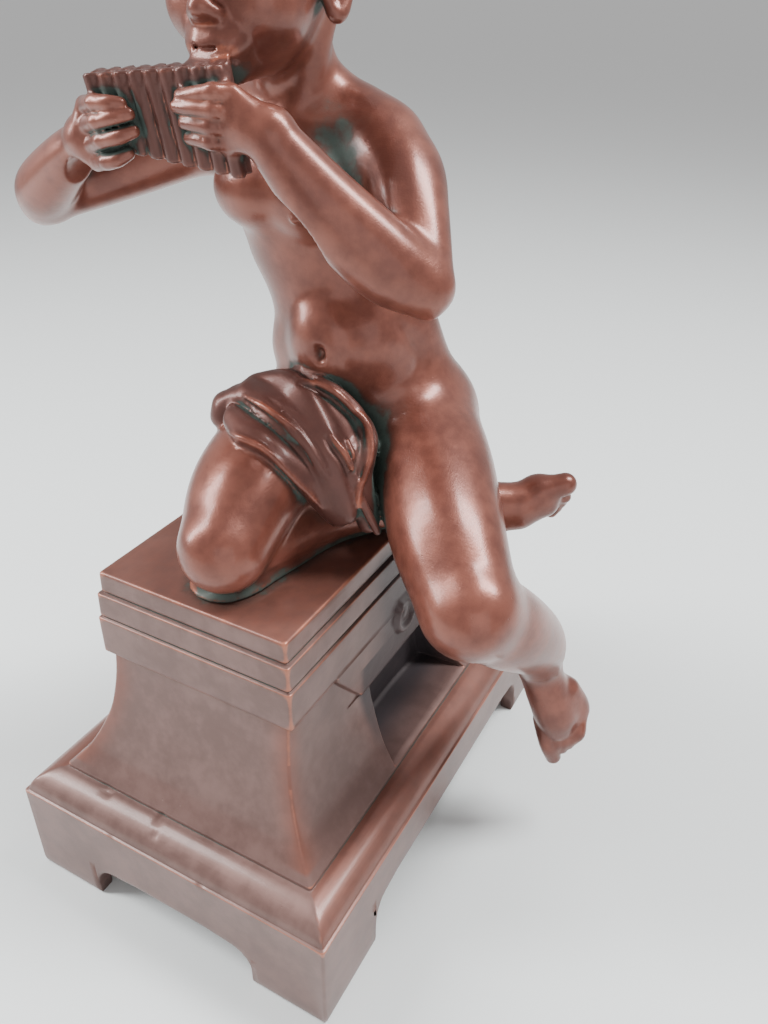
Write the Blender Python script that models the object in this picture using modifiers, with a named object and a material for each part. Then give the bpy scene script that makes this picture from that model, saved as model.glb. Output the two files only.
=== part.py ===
"""Seated boy faun playing the pan pipes, a bronze casting on its own moulded plinth.

Two pieces: the figure (with cloth and pipes, cast as one) and the plinth it sits on.
"""
import bpy
import bmesh
import numpy as np
from mathutils import Matrix, Vector

MM = 0.001
GAP = 0.3

# plinth, millimetres
BASE_LENGTH, BASE_WIDTH = 108.2, 70.0
# heights are counted from a level above the table; the feet reach down to FEET_Z
PLINTH_HEIGHT, FEET_Z = 66.9, -4.0
SEAT_INSET = 15.35
WALL = 3.2
FOOT_SHORT_SIDE, FOOT_LONG_SIDE = 16.0, 18.2
ARCH_SHORT_SIDE, ARCH_LONG_SIDE = 9.0, 11.6
COVE_SHORT_SIDE, COVE_LONG_SIDE = 5.0, 4.0
APRON_HALF_BOTTOM, APRON_HALF_TOP, APRON_INSET, APRON_BACK = 17.1, 25.6, 14.0, 22.0
APRON_BOTTOM, APRON_SHOULDER, APRON_TOP = 38.7, 48.5, 53.0
ROUNDEL_Z, ROUNDEL_R, ROUNDEL_RISE, ROUNDEL_DISH = 47.2, 4.15, 1.0, 0.6
NICHE_HALF_TOP, NICHE_HALF_FOOT, NICHE_FLARE, NICHE_DEPTH = 12.0, 16.5, 0.6, 3.4
NICHE_FOOT_Z, NICHE_TOP_Z, FRIEZE_INSET, BASE_CLEAR = 23.4, 50.0, 15.5, 5.0
HOLLOW_FLOOR_Z, HOLLOW_STEP_Z, HOLLOW_NECK_Z, CEILING = 17.0, 19.0, 36.0, 5.0
HOLLOW_STEP_INSET, HOLLOW_NECK_INSET, HOLLOW_TOP_INSET = 12.0, 19.0, 19.5
OVERCUT = 1.0

# moulding profile of the plinth: how far each level stands in from the base edge, its height,
# and how much further in it stands on the two long sides
PROFILE = [(0.0, FEET_Z, 0), (0.0, 18.0, 0), (0.9, 19.3, 0), (2.6, 20.9, 0), (5.3, 22.2, 0), (6.2, 22.3, 0),
           (6.3, 22.9, 0), (7.7, 24.4, 0.4), (9.3, 26.7, 0.8), (11.0, 30.5, 1.2), (13.0, 36.0, 1.4),
           (14.8, 43.5, 0.7), (15.3, 49.3, 0.3), (14.1, 49.5, 0), (14.2, 57.1, 0), (15.3, 57.5, 0),
           (14.6, 57.9, 0), (14.7, 62.3, 0), (15.9, 62.7, 0), (SEAT_INSET, 63.1, 0),
           (SEAT_INSET, PLINTH_HEIGHT - 0.6, 0), (15.9, PLINTH_HEIGHT, 0)]

# figure: its points are typed for a seat 66.9 high and scale with FIGURE_SEAT
FIGURE_SEAT, SEAT_CUT = 66.9, 40.0
VOXEL, SMOOTH_STEPS, FIGURE_TRIANGLES, GROW = 0.85, 3, 8200, 0.03

for old in list(bpy.data.objects):
    bpy.data.objects.remove(old, do_unlink=True)

work = bpy.data.collections.new("faun_statue")
tools = bpy.data.collections.new("cutters")
bpy.context.scene.collection.children.link(work)
bpy.context.scene.collection.children.link(tools)


def material(name, colour, roughness):
    m = bpy.data.materials.new(name)
    m.use_nodes = True
    shader = m.node_tree.nodes["Principled BSDF"]
    shader.inputs["Base Color"].default_value = (*colour, 1)
    shader.inputs["Metallic"].default_value = 0.85
    shader.inputs["Roughness"].default_value = roughness
    m.diffuse_color = (*colour, 1)
    return m


FIGURE_BRONZE = material("figure_bronze", (0.25, 0.085, 0.05), 0.34)
PLINTH_BRONZE = material("plinth_bronze", (0.21, 0.10, 0.075), 0.45)


def place(name, bm, collection, look=None):
    """Turns a bmesh in millimetres into a named object in metres."""
    bmesh.ops.scale(bm, vec=(MM, MM, MM), verts=bm.verts)
    mesh = bpy.data.meshes.new(name)
    bm.to_mesh(mesh)
    bm.free()
    ob = bpy.data.objects.new(name, mesh)
    collection.objects.link(ob)
    if look:
        mesh.materials.append(look)
    if collection == tools:
        ob.hide_render = True
        ob.display_type = "WIRE"
    return ob


def prism(outline, axis, low, high):
    """Extrudes a flat outline of (u, z) points along x or y."""
    bm = bmesh.new()
    if axis == "y":
        verts = [bm.verts.new((u, low, z)) for u, z in outline]
        way = Vector((0, high - low, 0))
    else:
        verts = [bm.verts.new((low, u, z)) for u, z in outline]
        way = Vector((high - low, 0, 0))
    face = bm.faces.new(verts)
    grown = bmesh.ops.extrude_face_region(bm, geom=[face])
    moved = [v for v in grown["geom"] if isinstance(v, bmesh.types.BMVert)]
    bmesh.ops.translate(bm, vec=way, verts=moved)
    bmesh.ops.recalc_face_normals(bm, faces=bm.faces)
    return bm


def stepped_block(levels):
    """A rectangular block raised level by level; each level is (half length, half width, z)."""
    bm = bmesh.new()
    hx, hy, z = levels[0]
    verts = [bm.verts.new((sx * hx, sy * hy, z)) for sx, sy in ((-1, -1), (1, -1), (1, 1), (-1, 1))]
    face = bm.faces.new(verts)
    for i, (nx, ny, nz) in enumerate(levels[1:]):
        grown = bmesh.ops.extrude_face_region(bm, geom=[face])["geom"]
        if i:
            bmesh.ops.delete(bm, geom=[face], context="FACES_ONLY")
        ring = [v for v in grown if isinstance(v, bmesh.types.BMVert)]
        for v in ring:
            v.co = Vector((np.sign(v.co.x) * nx, np.sign(v.co.y) * ny, nz))
        face = [f for f in grown if isinstance(f, bmesh.types.BMFace)][0]
    bmesh.ops.recalc_face_normals(bm, faces=bm.faces)
    return bm


def cut(ob, cutter, how="DIFFERENCE"):
    m = ob.modifiers.new("cut_" + cutter.name, "BOOLEAN")
    m.operation = how
    m.object = cutter
    m.solver = "EXACT"
    return m


def arch(half_span, foot, height, cove):
    """Outline of the opening between two bracket feet: straight foot edge, cove, level top."""
    inner = half_span - foot
    side = [(inner, FEET_Z - OVERCUT), (inner, FEET_Z + height * 0.34)]
    for i in range(1, 5):
        a = np.pi / 2 * i / 4
        side.append((inner - cove * (1 - np.cos(a)), FEET_Z + height * (0.34 + 0.6 * np.sin(a))))
    side.append((inner - cove * 2.2, FEET_Z + height))
    return side + [(-u, z) for u, z in reversed(side)]


def drum_facing_y(radius, depth, y, z):
    """A short round block whose flat ends face along y."""
    bm = bmesh.new()
    where = Matrix.Translation((0, y, z)) @ Matrix.Rotation(np.pi / 2, 4, "X")
    bmesh.ops.create_cone(bm, cap_ends=True, segments=24, radius1=radius, radius2=radius, depth=depth,
                          matrix=where)
    return bm


def make_plinth():
    half_l, half_w = BASE_LENGTH / 2, BASE_WIDTH / 2
    block = stepped_block([(half_l - o, half_w - o - e, z) for o, z, e in PROFILE])
    body = place("plinth", block, work, PLINTH_BRONZE)
    # apron plates and roundels stand on both long sides
    outline = [(-APRON_HALF_BOTTOM, APRON_BOTTOM), (APRON_HALF_BOTTOM, APRON_BOTTOM),
               (APRON_HALF_TOP, APRON_SHOULDER), (APRON_HALF_TOP, APRON_TOP), (-APRON_HALF_TOP, APRON_TOP),
               (-APRON_HALF_TOP, APRON_SHOULDER)]
    # the bay between the piers widens towards its foot
    waist = NICHE_HALF_TOP + NICHE_FLARE
    bay = [(-NICHE_HALF_TOP, NICHE_TOP_Z), (-waist, APRON_BOTTOM), (-NICHE_HALF_FOOT, NICHE_FOOT_Z),
           (NICHE_HALF_FOOT, NICHE_FOOT_Z), (waist, APRON_BOTTOM), (NICHE_HALF_TOP, NICHE_TOP_Z)]
    core = half_w - FRIEZE_INSET - NICHE_DEPTH
    for side, name in ((-1, "front"), (1, "back")):
        face_y = side * (half_w - APRON_INSET)
        lo, hi = sorted((side * (half_w - BASE_CLEAR), side * core))
        cut(body, place("bay_" + name, prism(bay, "y", lo, hi), tools))
        lo, hi = sorted((face_y, side * (half_w - APRON_BACK)))
        cut(body, place("apron_" + name, prism(outline, "y", lo, hi), tools), "UNION")
        disc = drum_facing_y(ROUNDEL_R, 2 * ROUNDEL_RISE, face_y, ROUNDEL_Z)
        cut(body, place("roundel_" + name, disc, tools), "UNION")
        dish_y = face_y + side * (ROUNDEL_RISE + OVERCUT / 2 - ROUNDEL_DISH)
        dish = drum_facing_y(ROUNDEL_R * 0.68, OVERCUT, dish_y, ROUNDEL_Z)
        cut(body, place("roundel_dish_" + name, dish, tools))
    # hollow casting, open below, and the openings between the four bracket feet
    core = core - WALL
    levels = [(half_l - WALL, half_w - WALL, FEET_Z - OVERCUT), (half_l - WALL, half_w - WALL, HOLLOW_FLOOR_Z),
              (half_l - HOLLOW_STEP_INSET, core, HOLLOW_STEP_Z), (half_l - HOLLOW_NECK_INSET, core, HOLLOW_NECK_Z),
              (half_l - HOLLOW_TOP_INSET, core, PLINTH_HEIGHT - CEILING)]
    cut(body, place("hollow", stepped_block(levels), tools))
    short = arch(half_w, FOOT_SHORT_SIDE, ARCH_SHORT_SIDE, COVE_SHORT_SIDE)
    long = arch(half_l, FOOT_LONG_SIDE, ARCH_LONG_SIDE, COVE_LONG_SIDE)
    cut(body, place("arch_short", prism(short, "x", -half_l - OVERCUT, half_l + OVERCUT), tools))
    cut(body, place("arch_long", prism(long, "y", -half_w - OVERCUT, half_w + OVERCUT), tools))
    return body


def unit_shape(kind, detail):
    """Vertices and faces of a ball of radius 1, or of a drum of radius 1 and depth 1, made once."""
    bm = bmesh.new()
    if kind == "ball":
        bmesh.ops.create_icosphere(bm, subdivisions=detail, radius=1)
    else:
        bmesh.ops.create_cone(bm, cap_ends=True, segments=detail, radius1=1, radius2=1, depth=1)
    verts = np.array([v.co[:] for v in bm.verts])
    faces = [[v.index for v in f.verts] for f in bm.faces]
    bm.free()
    return verts, faces


BALLS = {n: unit_shape("ball", n) for n in (1, 2, 3)}
DRUMS = {n: unit_shape("drum", n) for n in (10, 16)}


class Solids:
    """Collects balls and cones; overlapping ones are fused later by the remesh."""

    def __init__(self):
        self.verts, self.faces, self.count = [], [], 0

    def add(self, verts, faces):
        self.verts.append(verts)
        self.faces += [[i + self.count for i in f] for f in faces]
        self.count += len(verts)

    def limb(self, path, radii, k=1.0, cut=False, per=4):
        if cut:
            return
        points, widths = eased(path, radii, per)
        widths = widths + GROW * k
        for i, (p, r) in enumerate(zip(points, widths)):
            ball, faces = BALLS[2 if r > 2 else 1]
            self.add(p + ball * r * (1.0 if r > 2 else 1.05), faces)
            if i == 0:
                continue
            q, s = points[i - 1], widths[i - 1]
            way = Vector(p - q)
            if way.length < 1e-4:
                continue
            spin = np.array(Vector((0, 0, 1)).rotation_difference(way).to_matrix())
            drum, faces = DRUMS[16 if r > 2 else 10]
            wide = np.where(drum[:, 2:] > 0, r, s)
            shape = np.hstack([drum[:, :2] * wide, drum[:, 2:] * way.length])
            self.add((p + q) / 2 + shape @ spin.T, faces)

    def mass(self, centre, radii, rotation=None, k=1.0, cut=False):
        if cut:
            return
        spin = np.eye(3) if rotation is None else rotation
        ball, faces = BALLS[3]
        self.add(np.asarray(centre, float) + (ball * (np.asarray(radii, float) + GROW * k)) @ spin.T, faces)

    def build(self, name):
        mesh = bpy.data.meshes.new(name)
        mesh.from_pydata((np.vstack(self.verts) * MM).tolist(), [], self.faces)
        mesh.materials.append(FIGURE_BRONZE)
        ob = bpy.data.objects.new(name, mesh)
        work.objects.link(ob)
        return ob


def fused(clay, reach):
    """Fuses the shapes and fills the creases between them with a web of about this radius."""
    ob = clay.build("pass")
    for i, amount in enumerate((reach, -reach)):
        fuse = ob.modifiers.new("fuse_%d" % i, "REMESH")
        fuse.mode = "VOXEL"
        fuse.voxel_size = VOXEL * MM * 1.2
        swell = ob.modifiers.new("swell_%d" % i, "DISPLACE")
        swell.mid_level = 0
        swell.strength = amount * MM
    bpy.context.view_layer.update()
    mesh = ob.evaluated_get(bpy.context.evaluated_depsgraph_get()).to_mesh()
    out = Solids()
    out.add(np.array([v.co[:] for v in mesh.vertices]) / MM, [list(p.vertices) for p in mesh.polygons])
    bpy.data.objects.remove(ob, do_unlink=True)
    return out


def eased(path, radii, per):
    """Catmull-Rom curve through the path, with the radii eased in the same way."""
    q = np.hstack([np.asarray(path, float), np.asarray(radii, float).reshape(-1, 1)])
    if len(q) > 2:
        ext = np.vstack([2 * q[0] - q[1], q, 2 * q[-1] - q[-2]])
        t = np.linspace(0, 1, per, endpoint=False)[:, None]
        rows = []
        for a, b, c, d in zip(ext[:-3], ext[1:-2], ext[2:-1], ext[3:]):
            bend, twist = 2 * a - 5 * b + 4 * c - d, 3 * b - a - 3 * c + d
            rows.append(0.5 * (2 * b + (c - a) * t + bend * t ** 2 + twist * t ** 3))
        q = np.vstack(rows + [q[-1:]])
    return q[:, :3], q[:, 3]


def turn(x=0.0, y=0.0, z=0.0):
    """Rotation matrix for turns about x, then y, then z, in degrees."""
    x, y, z = np.radians([x, y, z])
    rx = np.array([[1, 0, 0], [0, np.cos(x), -np.sin(x)], [0, np.sin(x), np.cos(x)]])
    ry = np.array([[np.cos(y), 0, np.sin(y)], [0, 1, 0], [-np.sin(y), 0, np.cos(y)]])
    rz = np.array([[np.cos(z), -np.sin(z), 0], [np.sin(z), np.cos(z), 0], [0, 0, 1]])
    return rz @ ry @ rx


def unit(v):
    return np.asarray(v, float) / np.linalg.norm(v)


# Joints of the seated boy, in millimetres: plinth centre at x = y = 0, table top at z = 0.
# The boy looks along -x; his left side is towards -y.
HIP_L, KNEE_L, ANKLE_L = (11, -17.5, 84), (-20.3, -42.6, 70.4), (6.7, -47.3, 40.5)
HIP_R, KNEE_R, ANKLE_R = (11, 1.5, 84), (-32.6, -4.1, 76.2), (5, -24, 72.3)
SHOULDER_L, ELBOW_L, WRIST_L = (2, -14, 134), (-12.4, -29, 118), (-23.0, -10.5, 138.3)
SHOULDER_R, ELBOW_R, WRIST_R = (-2, 16.5, 134), (-18.7, 39.6, 123.7), (-25.4, 19.6, 135.6)


def trunk(c):
    L, M = c.limb, c.mass
    M((3.2, -1.4, 121.5), (11.2, 13.6, 15.8), turn(0, 6, 0), k=3)
    M((0.4, 0.3, 128), (10.4, 13.2, 10), turn(0, 4, 0), k=4)
    M((3.5, -6.2, 103), (11.0, 13.0, 12.5), k=6)
    M((9.5, -8.0, 90), (12.4, 15.8, 12.5), k=6)
    L([(7, -10.4, 113), (8.3, -14.0, 105), (11, -15.2, 96)], [5.5, 6.2, 6.6], k=4)
    M((1, 0.5, 99), (5.8, 6.2, 6), k=3.5)
    M((-1.2, -6.8, 101), (6.7, 7.5, 7.5), k=3)
    M((16.8, -15.7, 84), (10.2, 9.4, 10.6), k=5)
    M((16.5, 1, 82), (10.5, 10.2, 10.4), k=5)
    L([(15, -9, 92), (13.5, -6, 106), (12.5, -1, 122), (8.5, 0.3, 134)], [4, 4, 4.4, 4], k=5)
    M((12.0, -8, 126), (3, 4.6, 6.4), turn(0, -8, -12), k=4)
    M((11.4, 8.6, 126), (3, 4.6, 6.4), turn(0, -8, 12), k=4)
    M((-7.4, -6.6, 126.8), (3.4, 6.2, 4.8), turn(0, 0, 22), k=3.5)
    M((-8.4, 6.0, 126.8), (3.4, 6.2, 4.8), turn(0, 0, -22), k=3.5)
    L([(3, -5, 137.4), (3, -9.6, 136.6), SHOULDER_L], [6, 5.4, 5.6], k=4)
    L([(1, 7, 137), (0, 12, 136.2), SHOULDER_R], [6, 5.4, 5.8], k=4)
    L([(-5.0, -1.6, 137.0), (-3.8, -7, 137.4), (-1.0, -12.5, 137.3)], [0.7, 0.8, 0.7], k=3)
    L([(-5.4, 2.4, 137.0), (-4.6, 8, 137.4), (-3.4, 14, 137.3)], [0.7, 0.8, 0.7], k=3)
    L([(0.2, -18.1, 107.1), (4.1, -20.3, 100), (2.1, -20.7, 95.7)], [0.3, 0.4, 0.3], k=2, cut=True)
    L([(4, 0, 135), (0.0, 0.3, 143), (-4, 0.6, 152)], [7.4, 6.4, 7.0], k=3.5)
    L([(-5.4, -0.8, 137.0), (-3, -4.4, 144), (-2, -7, 151)], [0.9, 1.3, 1.4], k=2)


def arms(c):
    L, M = c.limb, c.mass
    L([SHOULDER_L, (-1.4, -19.0, 130.4), (-5.6, -22.6, 126.2), ELBOW_L], [5.9, 6.3, 5.8, 4.1], k=2.5)
    L([ELBOW_L, (-15.0, -25.2, 122.0), (-19.5, -17.6, 130.2), WRIST_L], [3.6, 4.5, 3.9, 2.9], k=1.5)
    L([(-13.4, -27.4, 118.6), (-16.4, -23.8, 120.8), (-20.7, -16.6, 128.8), (-23.3, -11.2, 136.4)],
      [3.6, 4.5, 3.9, 2.7], k=3)
    L([(-12.6, -28.4, 117.6), (-13.6, -30.4, 115.4)], [3.0, 1.3], k=2)
    L([SHOULDER_R, (-9.5, 27.5, 129), ELBOW_R], [6.0, 5.2, 4.0], k=2.5)
    L([ELBOW_R, (-20.8, 35.8, 126.2), (-23.6, 27, 131.6), WRIST_R], [3.8, 4.6, 3.8, 2.9], k=1.5)
    L([(-18.4, 39.0, 123.0), (-18.9, 41.0, 121.8)], [3.0, 1.6], k=2)


def legs(c):
    L, M = c.limb, c.mass
    L([HIP_L, (0, -26, 81.2), (-11, -34.0, 76.6), KNEE_L], [10.8, 10.6, 9.8, 8.0], k=4.5)
    M((-22.2, -44.6, 71.2), (5.4, 5.4, 5.8), k=3)
    L([(-21.4, -42.4, 72.6), (-24.8, -46.2, 70.6)], [3.0, 2.6], k=2.5)
    L([KNEE_L, (-12.1, -45.9, 62.5), (-0.8, -47.9, 51.5), (7.0, -47.9, 40.8)], [7.4, 7.5, 6.3, 4.4], k=2.5)
    L([HIP_R, (-6, 0.4, 84.0), (-21.5, -1.2, 81.3), KNEE_R], [10.2, 10.3, 9.6, 7.4], k=4)
    M((-34.2, -3.8, 77.4), (4.8, 5.2, 5.2), k=3)
    M((-7, -9, 79.5), (8, 7.5, 9.5), k=3)
    L([(-30.4, -3.6, 73.0), (-23.5, -4.8, 72.2), (-13.0, -7.4, 71.8), (-4.5, -12.8, 71.8), ANKLE_R],
      [5.2, 5.4, 5.3, 4.9, 4.2], k=0.9)


def feet(c):
    L, M = c.limb, c.mass
    # left foot hangs: heel, arch, ball, then five toes set along the line across the foot
    L([ANKLE_L, (7.4, -49.9, 34.5), (8.0, -52.1, 29.0), (8.3, -52.9, 25.4)], [3.8, 4.4, 4.6, 3.9], k=2)
    L([(11.0, -47.1, 38.0), (12.4, -47.9, 34.0)], [3.7, 3.4], k=2)
    L([(10.4, -53.5, 33.0), (11.6, -55.7, 28.4), (11.0, -56.1, 26.0)], [2.6, 2.6, 2.2], k=2)
    across = np.array([0.48, -0.87, 0.02])
    toes = [(-3.3, 9.2, 1.75), (-0.3, 7.4, 1.4), (1.5, 6.8, 1.35), (3.1, 5.6, 1.3), (4.5, 4.2, 1.25)]
    for w, length, r in toes:
        root = np.array([8.6, -53.5, 26.0]) + across * w
        mid = root + np.array([-1.6, -1.1, -0.52 * length]) - across * w * (0.3 if w < -3 else 0.1)
        tip = root + np.array([-1.4, -0.6, -length]) - across * (w * (0.85 if w < -3 else 0.25) - 0.3)
        L([root, mid, tip], [r * 1.15, r, r * 0.98], k=0.8)
    # right foot lies with the sole up: heel, arch, ball, great toe, then the small toes below it
    L([ANKLE_R, (8.6, -29.0, 71.2), (12.6, -36.0, 71.0), (15.6, -41.0, 72.2)], [4.5, 4.3, 3.9, 3.2], k=2)
    L([(6.0, -26.5, 70.2), (9.6, -31.5, 68.8), (13.4, -37.5, 69.2)], [4.2, 4.0, 3.6], k=2)
    M((15.9, -40.6, 73.8), (2.8, 3.2, 2.7), k=1.6)
    L([(15.8, -41.6, 73.8), (17.4, -45.2, 75.3)], [2.6, 2.2], k=1.2)
    L([(14.0, -38.5, 70.4), (16.4, -42.0, 70.8)], [3.4, 2.6], k=2)
    for i, (out, drop) in enumerate([(1.5, 1.9), (2.2, 3.5), (2.4, 5.0), (2.2, 6.3)]):
        root = (14.8 + out * 0.6, -40.2, 73.8 - drop * 0.8)
        mid = (16.6 + out, -43.6 + 0.5 * i, 74.4 - drop)
        L([root, mid, (16.8 + out, -45.2 + 0.8 * i, 74.0 - drop)], [1.9, 1.35, 1.25], k=0.8)


def small_forms(c):
    """The low rim the folded leg rests on, the navel, and the folds at knee, elbow and armpit."""
    L, M = c.limb, c.mass
    L([(-33.0, 6.0, 66.9), (-35.4, 2.6, 67.0), (-35.9, -1.6, 67.1), (-34.6, -5.0, 67.1), (-30.4, -7.4, 67.1),
       (-25.0, -8.1, 67.1), (-19.4, -9.2, 67.1), (-13.0, -10.0, 67.1), (-7.8, -11.6, 67.1),
       (-4.3, -14.4, 67.1)], [0.5, 0.9, 1.0, 1.1, 1.15, 1.2, 1.2, 1.2, 1.1, 0.9], k=0.5)
    M((-8.1, -8.1, 101.9), (1.3, 2.0, 2.1), k=1.5)
    M((-9.9, -8.5, 101.9), (1.5, 0.9, 1.2), k=1.0, cut=True)
    M((-11.0, -5.6, 124.3), (0.6, 0.6, 0.6), k=0.7)


PIPE_COUNT, PIPE_R = 9, 1.2
PIPES_LEFT, PIPES_RIGHT = np.array([-24.4, -3.9, 146.1]), np.array([-27.2, 14.9, 144.3])


def pan_pipes(c):
    """Two rows of reeds side by side, the long ones at the boy's left hand."""
    down = unit([0.13, -0.09, -0.98])
    along = unit(PIPES_RIGHT - PIPES_LEFT)
    front = unit(np.cross(down, along))
    front = front if front[0] < 0 else -front
    for i in range(PIPE_COUNT):
        t = i / (PIPE_COUNT - 1)
        top = PIPES_LEFT + (PIPES_RIGHT - PIPES_LEFT) * t
        length = 13.9 - 5.6 * t
        for side, extra in ((0.7, 0.0), (-1.0, -0.3)):
            a = top + front * side
            c.limb([a + down * 0.6, a + down * (length + extra)], [PIPE_R, PIPE_R * 0.95], k=0.15)
    c.limb([PIPES_LEFT + down * 1.6, PIPES_RIGHT + down * 1.6], [1.5, 1.5], k=0.3)
    # the tops are filed level and lightly bored
    file = [PIPES_LEFT - along * 3 - down * 9.1, PIPES_RIGHT + along * 3 - down * 9.1]
    c.limb(file, [9, 9], k=0.3, cut=True)
    for i in range(PIPE_COUNT):
        a = PIPES_LEFT + (PIPES_RIGHT - PIPES_LEFT) * i / (PIPE_COUNT - 1) - front * 0.1
        c.limb([a - down, a + down * 0.1], [0.62, 0.62], k=0.3, cut=True)


FINGERS_R = [[(-27.2, 17.4, 140.1), (-29.4, 13.3, 140.9), (-29.8, 10.6, 141.1), (-29, 9.1, 141)],
             [(-27.2, 18, 137.5), (-29.6, 13.1, 138.6), (-29.8, 9.9, 139.4), (-28.8, 8.1, 139.8)],
             [(-27, 17.8, 134.8), (-29.4, 12.9, 136.2), (-29.6, 9.6, 137), (-28.6, 7.8, 137.7)],
             [(-26.6, 17.3, 132.7), (-28.8, 13.1, 133.4), (-29, 11, 133.9), (-28.2, 9.6, 134.7)]]
FINGERS_L = [[(-25.2, -6.5, 142.8), (-26.9, -5, 143.1), (-27.3, -2.7, 142.8), (-27, 0.4, 142.4)],
             [(-25.4, -6.5, 140.8), (-27.1, -4.9, 141), (-27.5, -2.5, 141.1), (-27.3, 1, 141.1)],
             [(-25.4, -6, 138.9), (-27, -4.3, 139), (-27.3, -2.3, 139.2), (-27.1, 0.1, 139.2)],
             [(-25, -4.8, 137), (-26.6, -3.8, 137.1), (-26.7, -1.9, 137.3), (-26.3, 0.1, 137.2)]]


def hands(c):
    L = c.limb
    for wrist, fingers in ((WRIST_R, FINGERS_R), (WRIST_L, FINGERS_L)):
        for i, finger in enumerate(fingers):
            knuckle = np.array(finger[0])
            L([wrist, (np.array(wrist) + knuckle) / 2 + (-0.2, 0, 0), knuckle], [2.8, 2.0, 1.35], k=1.3)
    L([(-26.2, 17.0, 136.6), (-27.0, 13.8, 136.8), (-27.0, 11.4, 137.2)], [2.2, 1.5, 1.2], k=0.8)
    L([(-24.4, 17.6, 137.5), (-23.2, 15.4, 139.4), (-23.6, 12.6, 140.8)], [1.6, 1.4, 1.2], k=0.8)
    L([(-24.2, -7.6, 139.6), (-24.8, -5.8, 139.8)], [2.6, 2.0], k=1.2)
    L([(-23.0, -8, 140), (-21.4, -4.6, 141.4), (-21.6, -0.6, 142.0)], [1.9, 1.5, 1.3], k=0.8)
    for finger in FINGERS_R + FINGERS_L:
        L(finger, [1.3, 1.12, 1.05, 0.9], k=0.25)
        c.mass(np.array(finger[1]) + (-0.25, 0, 0.1), (1.15, 1.3, 1.1), k=0.4)


# The cloth's surface: each row is a line along the folds, from the bunch on the right hip down
# to the lap, and the rows go from the hem on the right thigh over two folds to the belly.
CLOTH_ROWS = [
    (0.6, [(-19.9, 2.8, 91.3), (-22.6, -1.1, 91), (-22.9, -4, 90.2), (-22.2, -6.3, 89.2),
           (-21.5, -8.7, 87), (-19.1, -11, 82.3), (-17.3, -12.9, 78.2), (-15.7, -14.8, 75.1)]),
    (0.75, [(-20.3, 2.9, 92.2), (-23, -0.9, 91.8), (-23.2, -3.9, 91.2), (-22.6, -6.3, 90.2),
            (-22, -8.9, 88.2), (-20.5, -11.5, 84.2), (-18.7, -13.4, 80.2), (-17.1, -15.5, 77)]),
    (1.15, [(-18.6, 3.3, 93.1), (-20.5, -0.7, 92.7), (-20.8, -3.9, 92), (-20.7, -6.5, 90.6),
            (-20.1, -9.1, 88.4), (-19.2, -11.8, 85.1), (-18.1, -14.2, 81.4), (-17, -16.7, 77.3)]),
    (0.75, [(-14.5, 4.8, 92.8), (-16, 1.6, 92.9), (-17.5, -2.4, 92.3), (-17.8, -5.7, 90.9),
            (-17.6, -8.7, 89.2), (-17.9, -11.7, 86.8), (-17.9, -15, 83.5), (-17.3, -17.6, 77.9)]),
    (1.1, [(-15.6, 3.2, 94.7), (-16.5, -0.2, 94.8), (-17.5, -3.7, 94.1), (-17.8, -6.8, 92.7),
           (-17.8, -9.3, 91.1), (-17.8, -12.1, 88.5), (-17.4, -15.1, 84.8), (-16.8, -18, 78.2)]),
    (1.2, [(-14.1, 3.3, 95.8), (-15.1, -0.4, 95.4), (-16.3, -4.3, 94.7), (-16.5, -7, 93.5),
           (-16.7, -9.4, 91.9), (-16.7, -12.3, 89.5), (-16.6, -15.4, 85.8), (-16.7, -18.3, 78.9)]),
    (1.3, [(-11, 3.7, 95.9), (-11.7, -0.1, 95.9), (-13.6, -4.2, 95.4), (-14.4, -7.1, 94.2),
           (-15.1, -10, 92.3), (-15.6, -12.9, 89.8), (-15.7, -15.8, 86.3), (-16.2, -18.2, 80.1)]),
    (1.3, [(-10.1, 0.3, 97.1), (-10.8, -3.1, 97.8), (-11.9, -6, 97.4), (-12.8, -8.3, 96.1),
           (-13.4, -10.5, 94), (-13.9, -12.6, 91.7), (-14.5, -14.9, 88.7), (-15.1, -17.1, 83.4)]),
    (0.9, [(-7.6, -1.6, 97.2), (-8.8, -4.4, 97.3), (-9.9, -7.1, 96.6), (-10.9, -9.5, 95.1),
           (-11.2, -11.6, 93), (-11.5, -13.7, 90.5), (-12.2, -15.5, 87.5), (-13.5, -17, 84.6)]),
    (0.9, [(-7.9, -3.4, 98.1), (-8.7, -6.4, 97.6), (-9.2, -9.3, 96.4), (-9.1, -11.7, 94.5),
           (-8.5, -13.5, 91.9), (-8.8, -15.3, 89.5), (-10.1, -16.6, 87.1), (-12.4, -17.4, 84.9)]),
    (0.8, [(-8.3, -4.7, 98.6), (-9, -8, 97.9), (-8.7, -10.5, 96.8), (-8.1, -12.7, 95),
           (-7.2, -14.5, 92.7), (-7.1, -16.4, 90.5), (-8.1, -18, 88.3), (-10.7, -18.5, 86)]),
    (0.5, [(-7, -4.3, 98.4), (-7.4, -7.3, 97.6), (-7.1, -10, 96.4), (-6.3, -12, 94.5), (-5, -13.6, 92),
           (-4.4, -15.5, 89.5), (-5.3, -17, 86.8), (-7.7, -17.4, 84.1)]),
]
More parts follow.
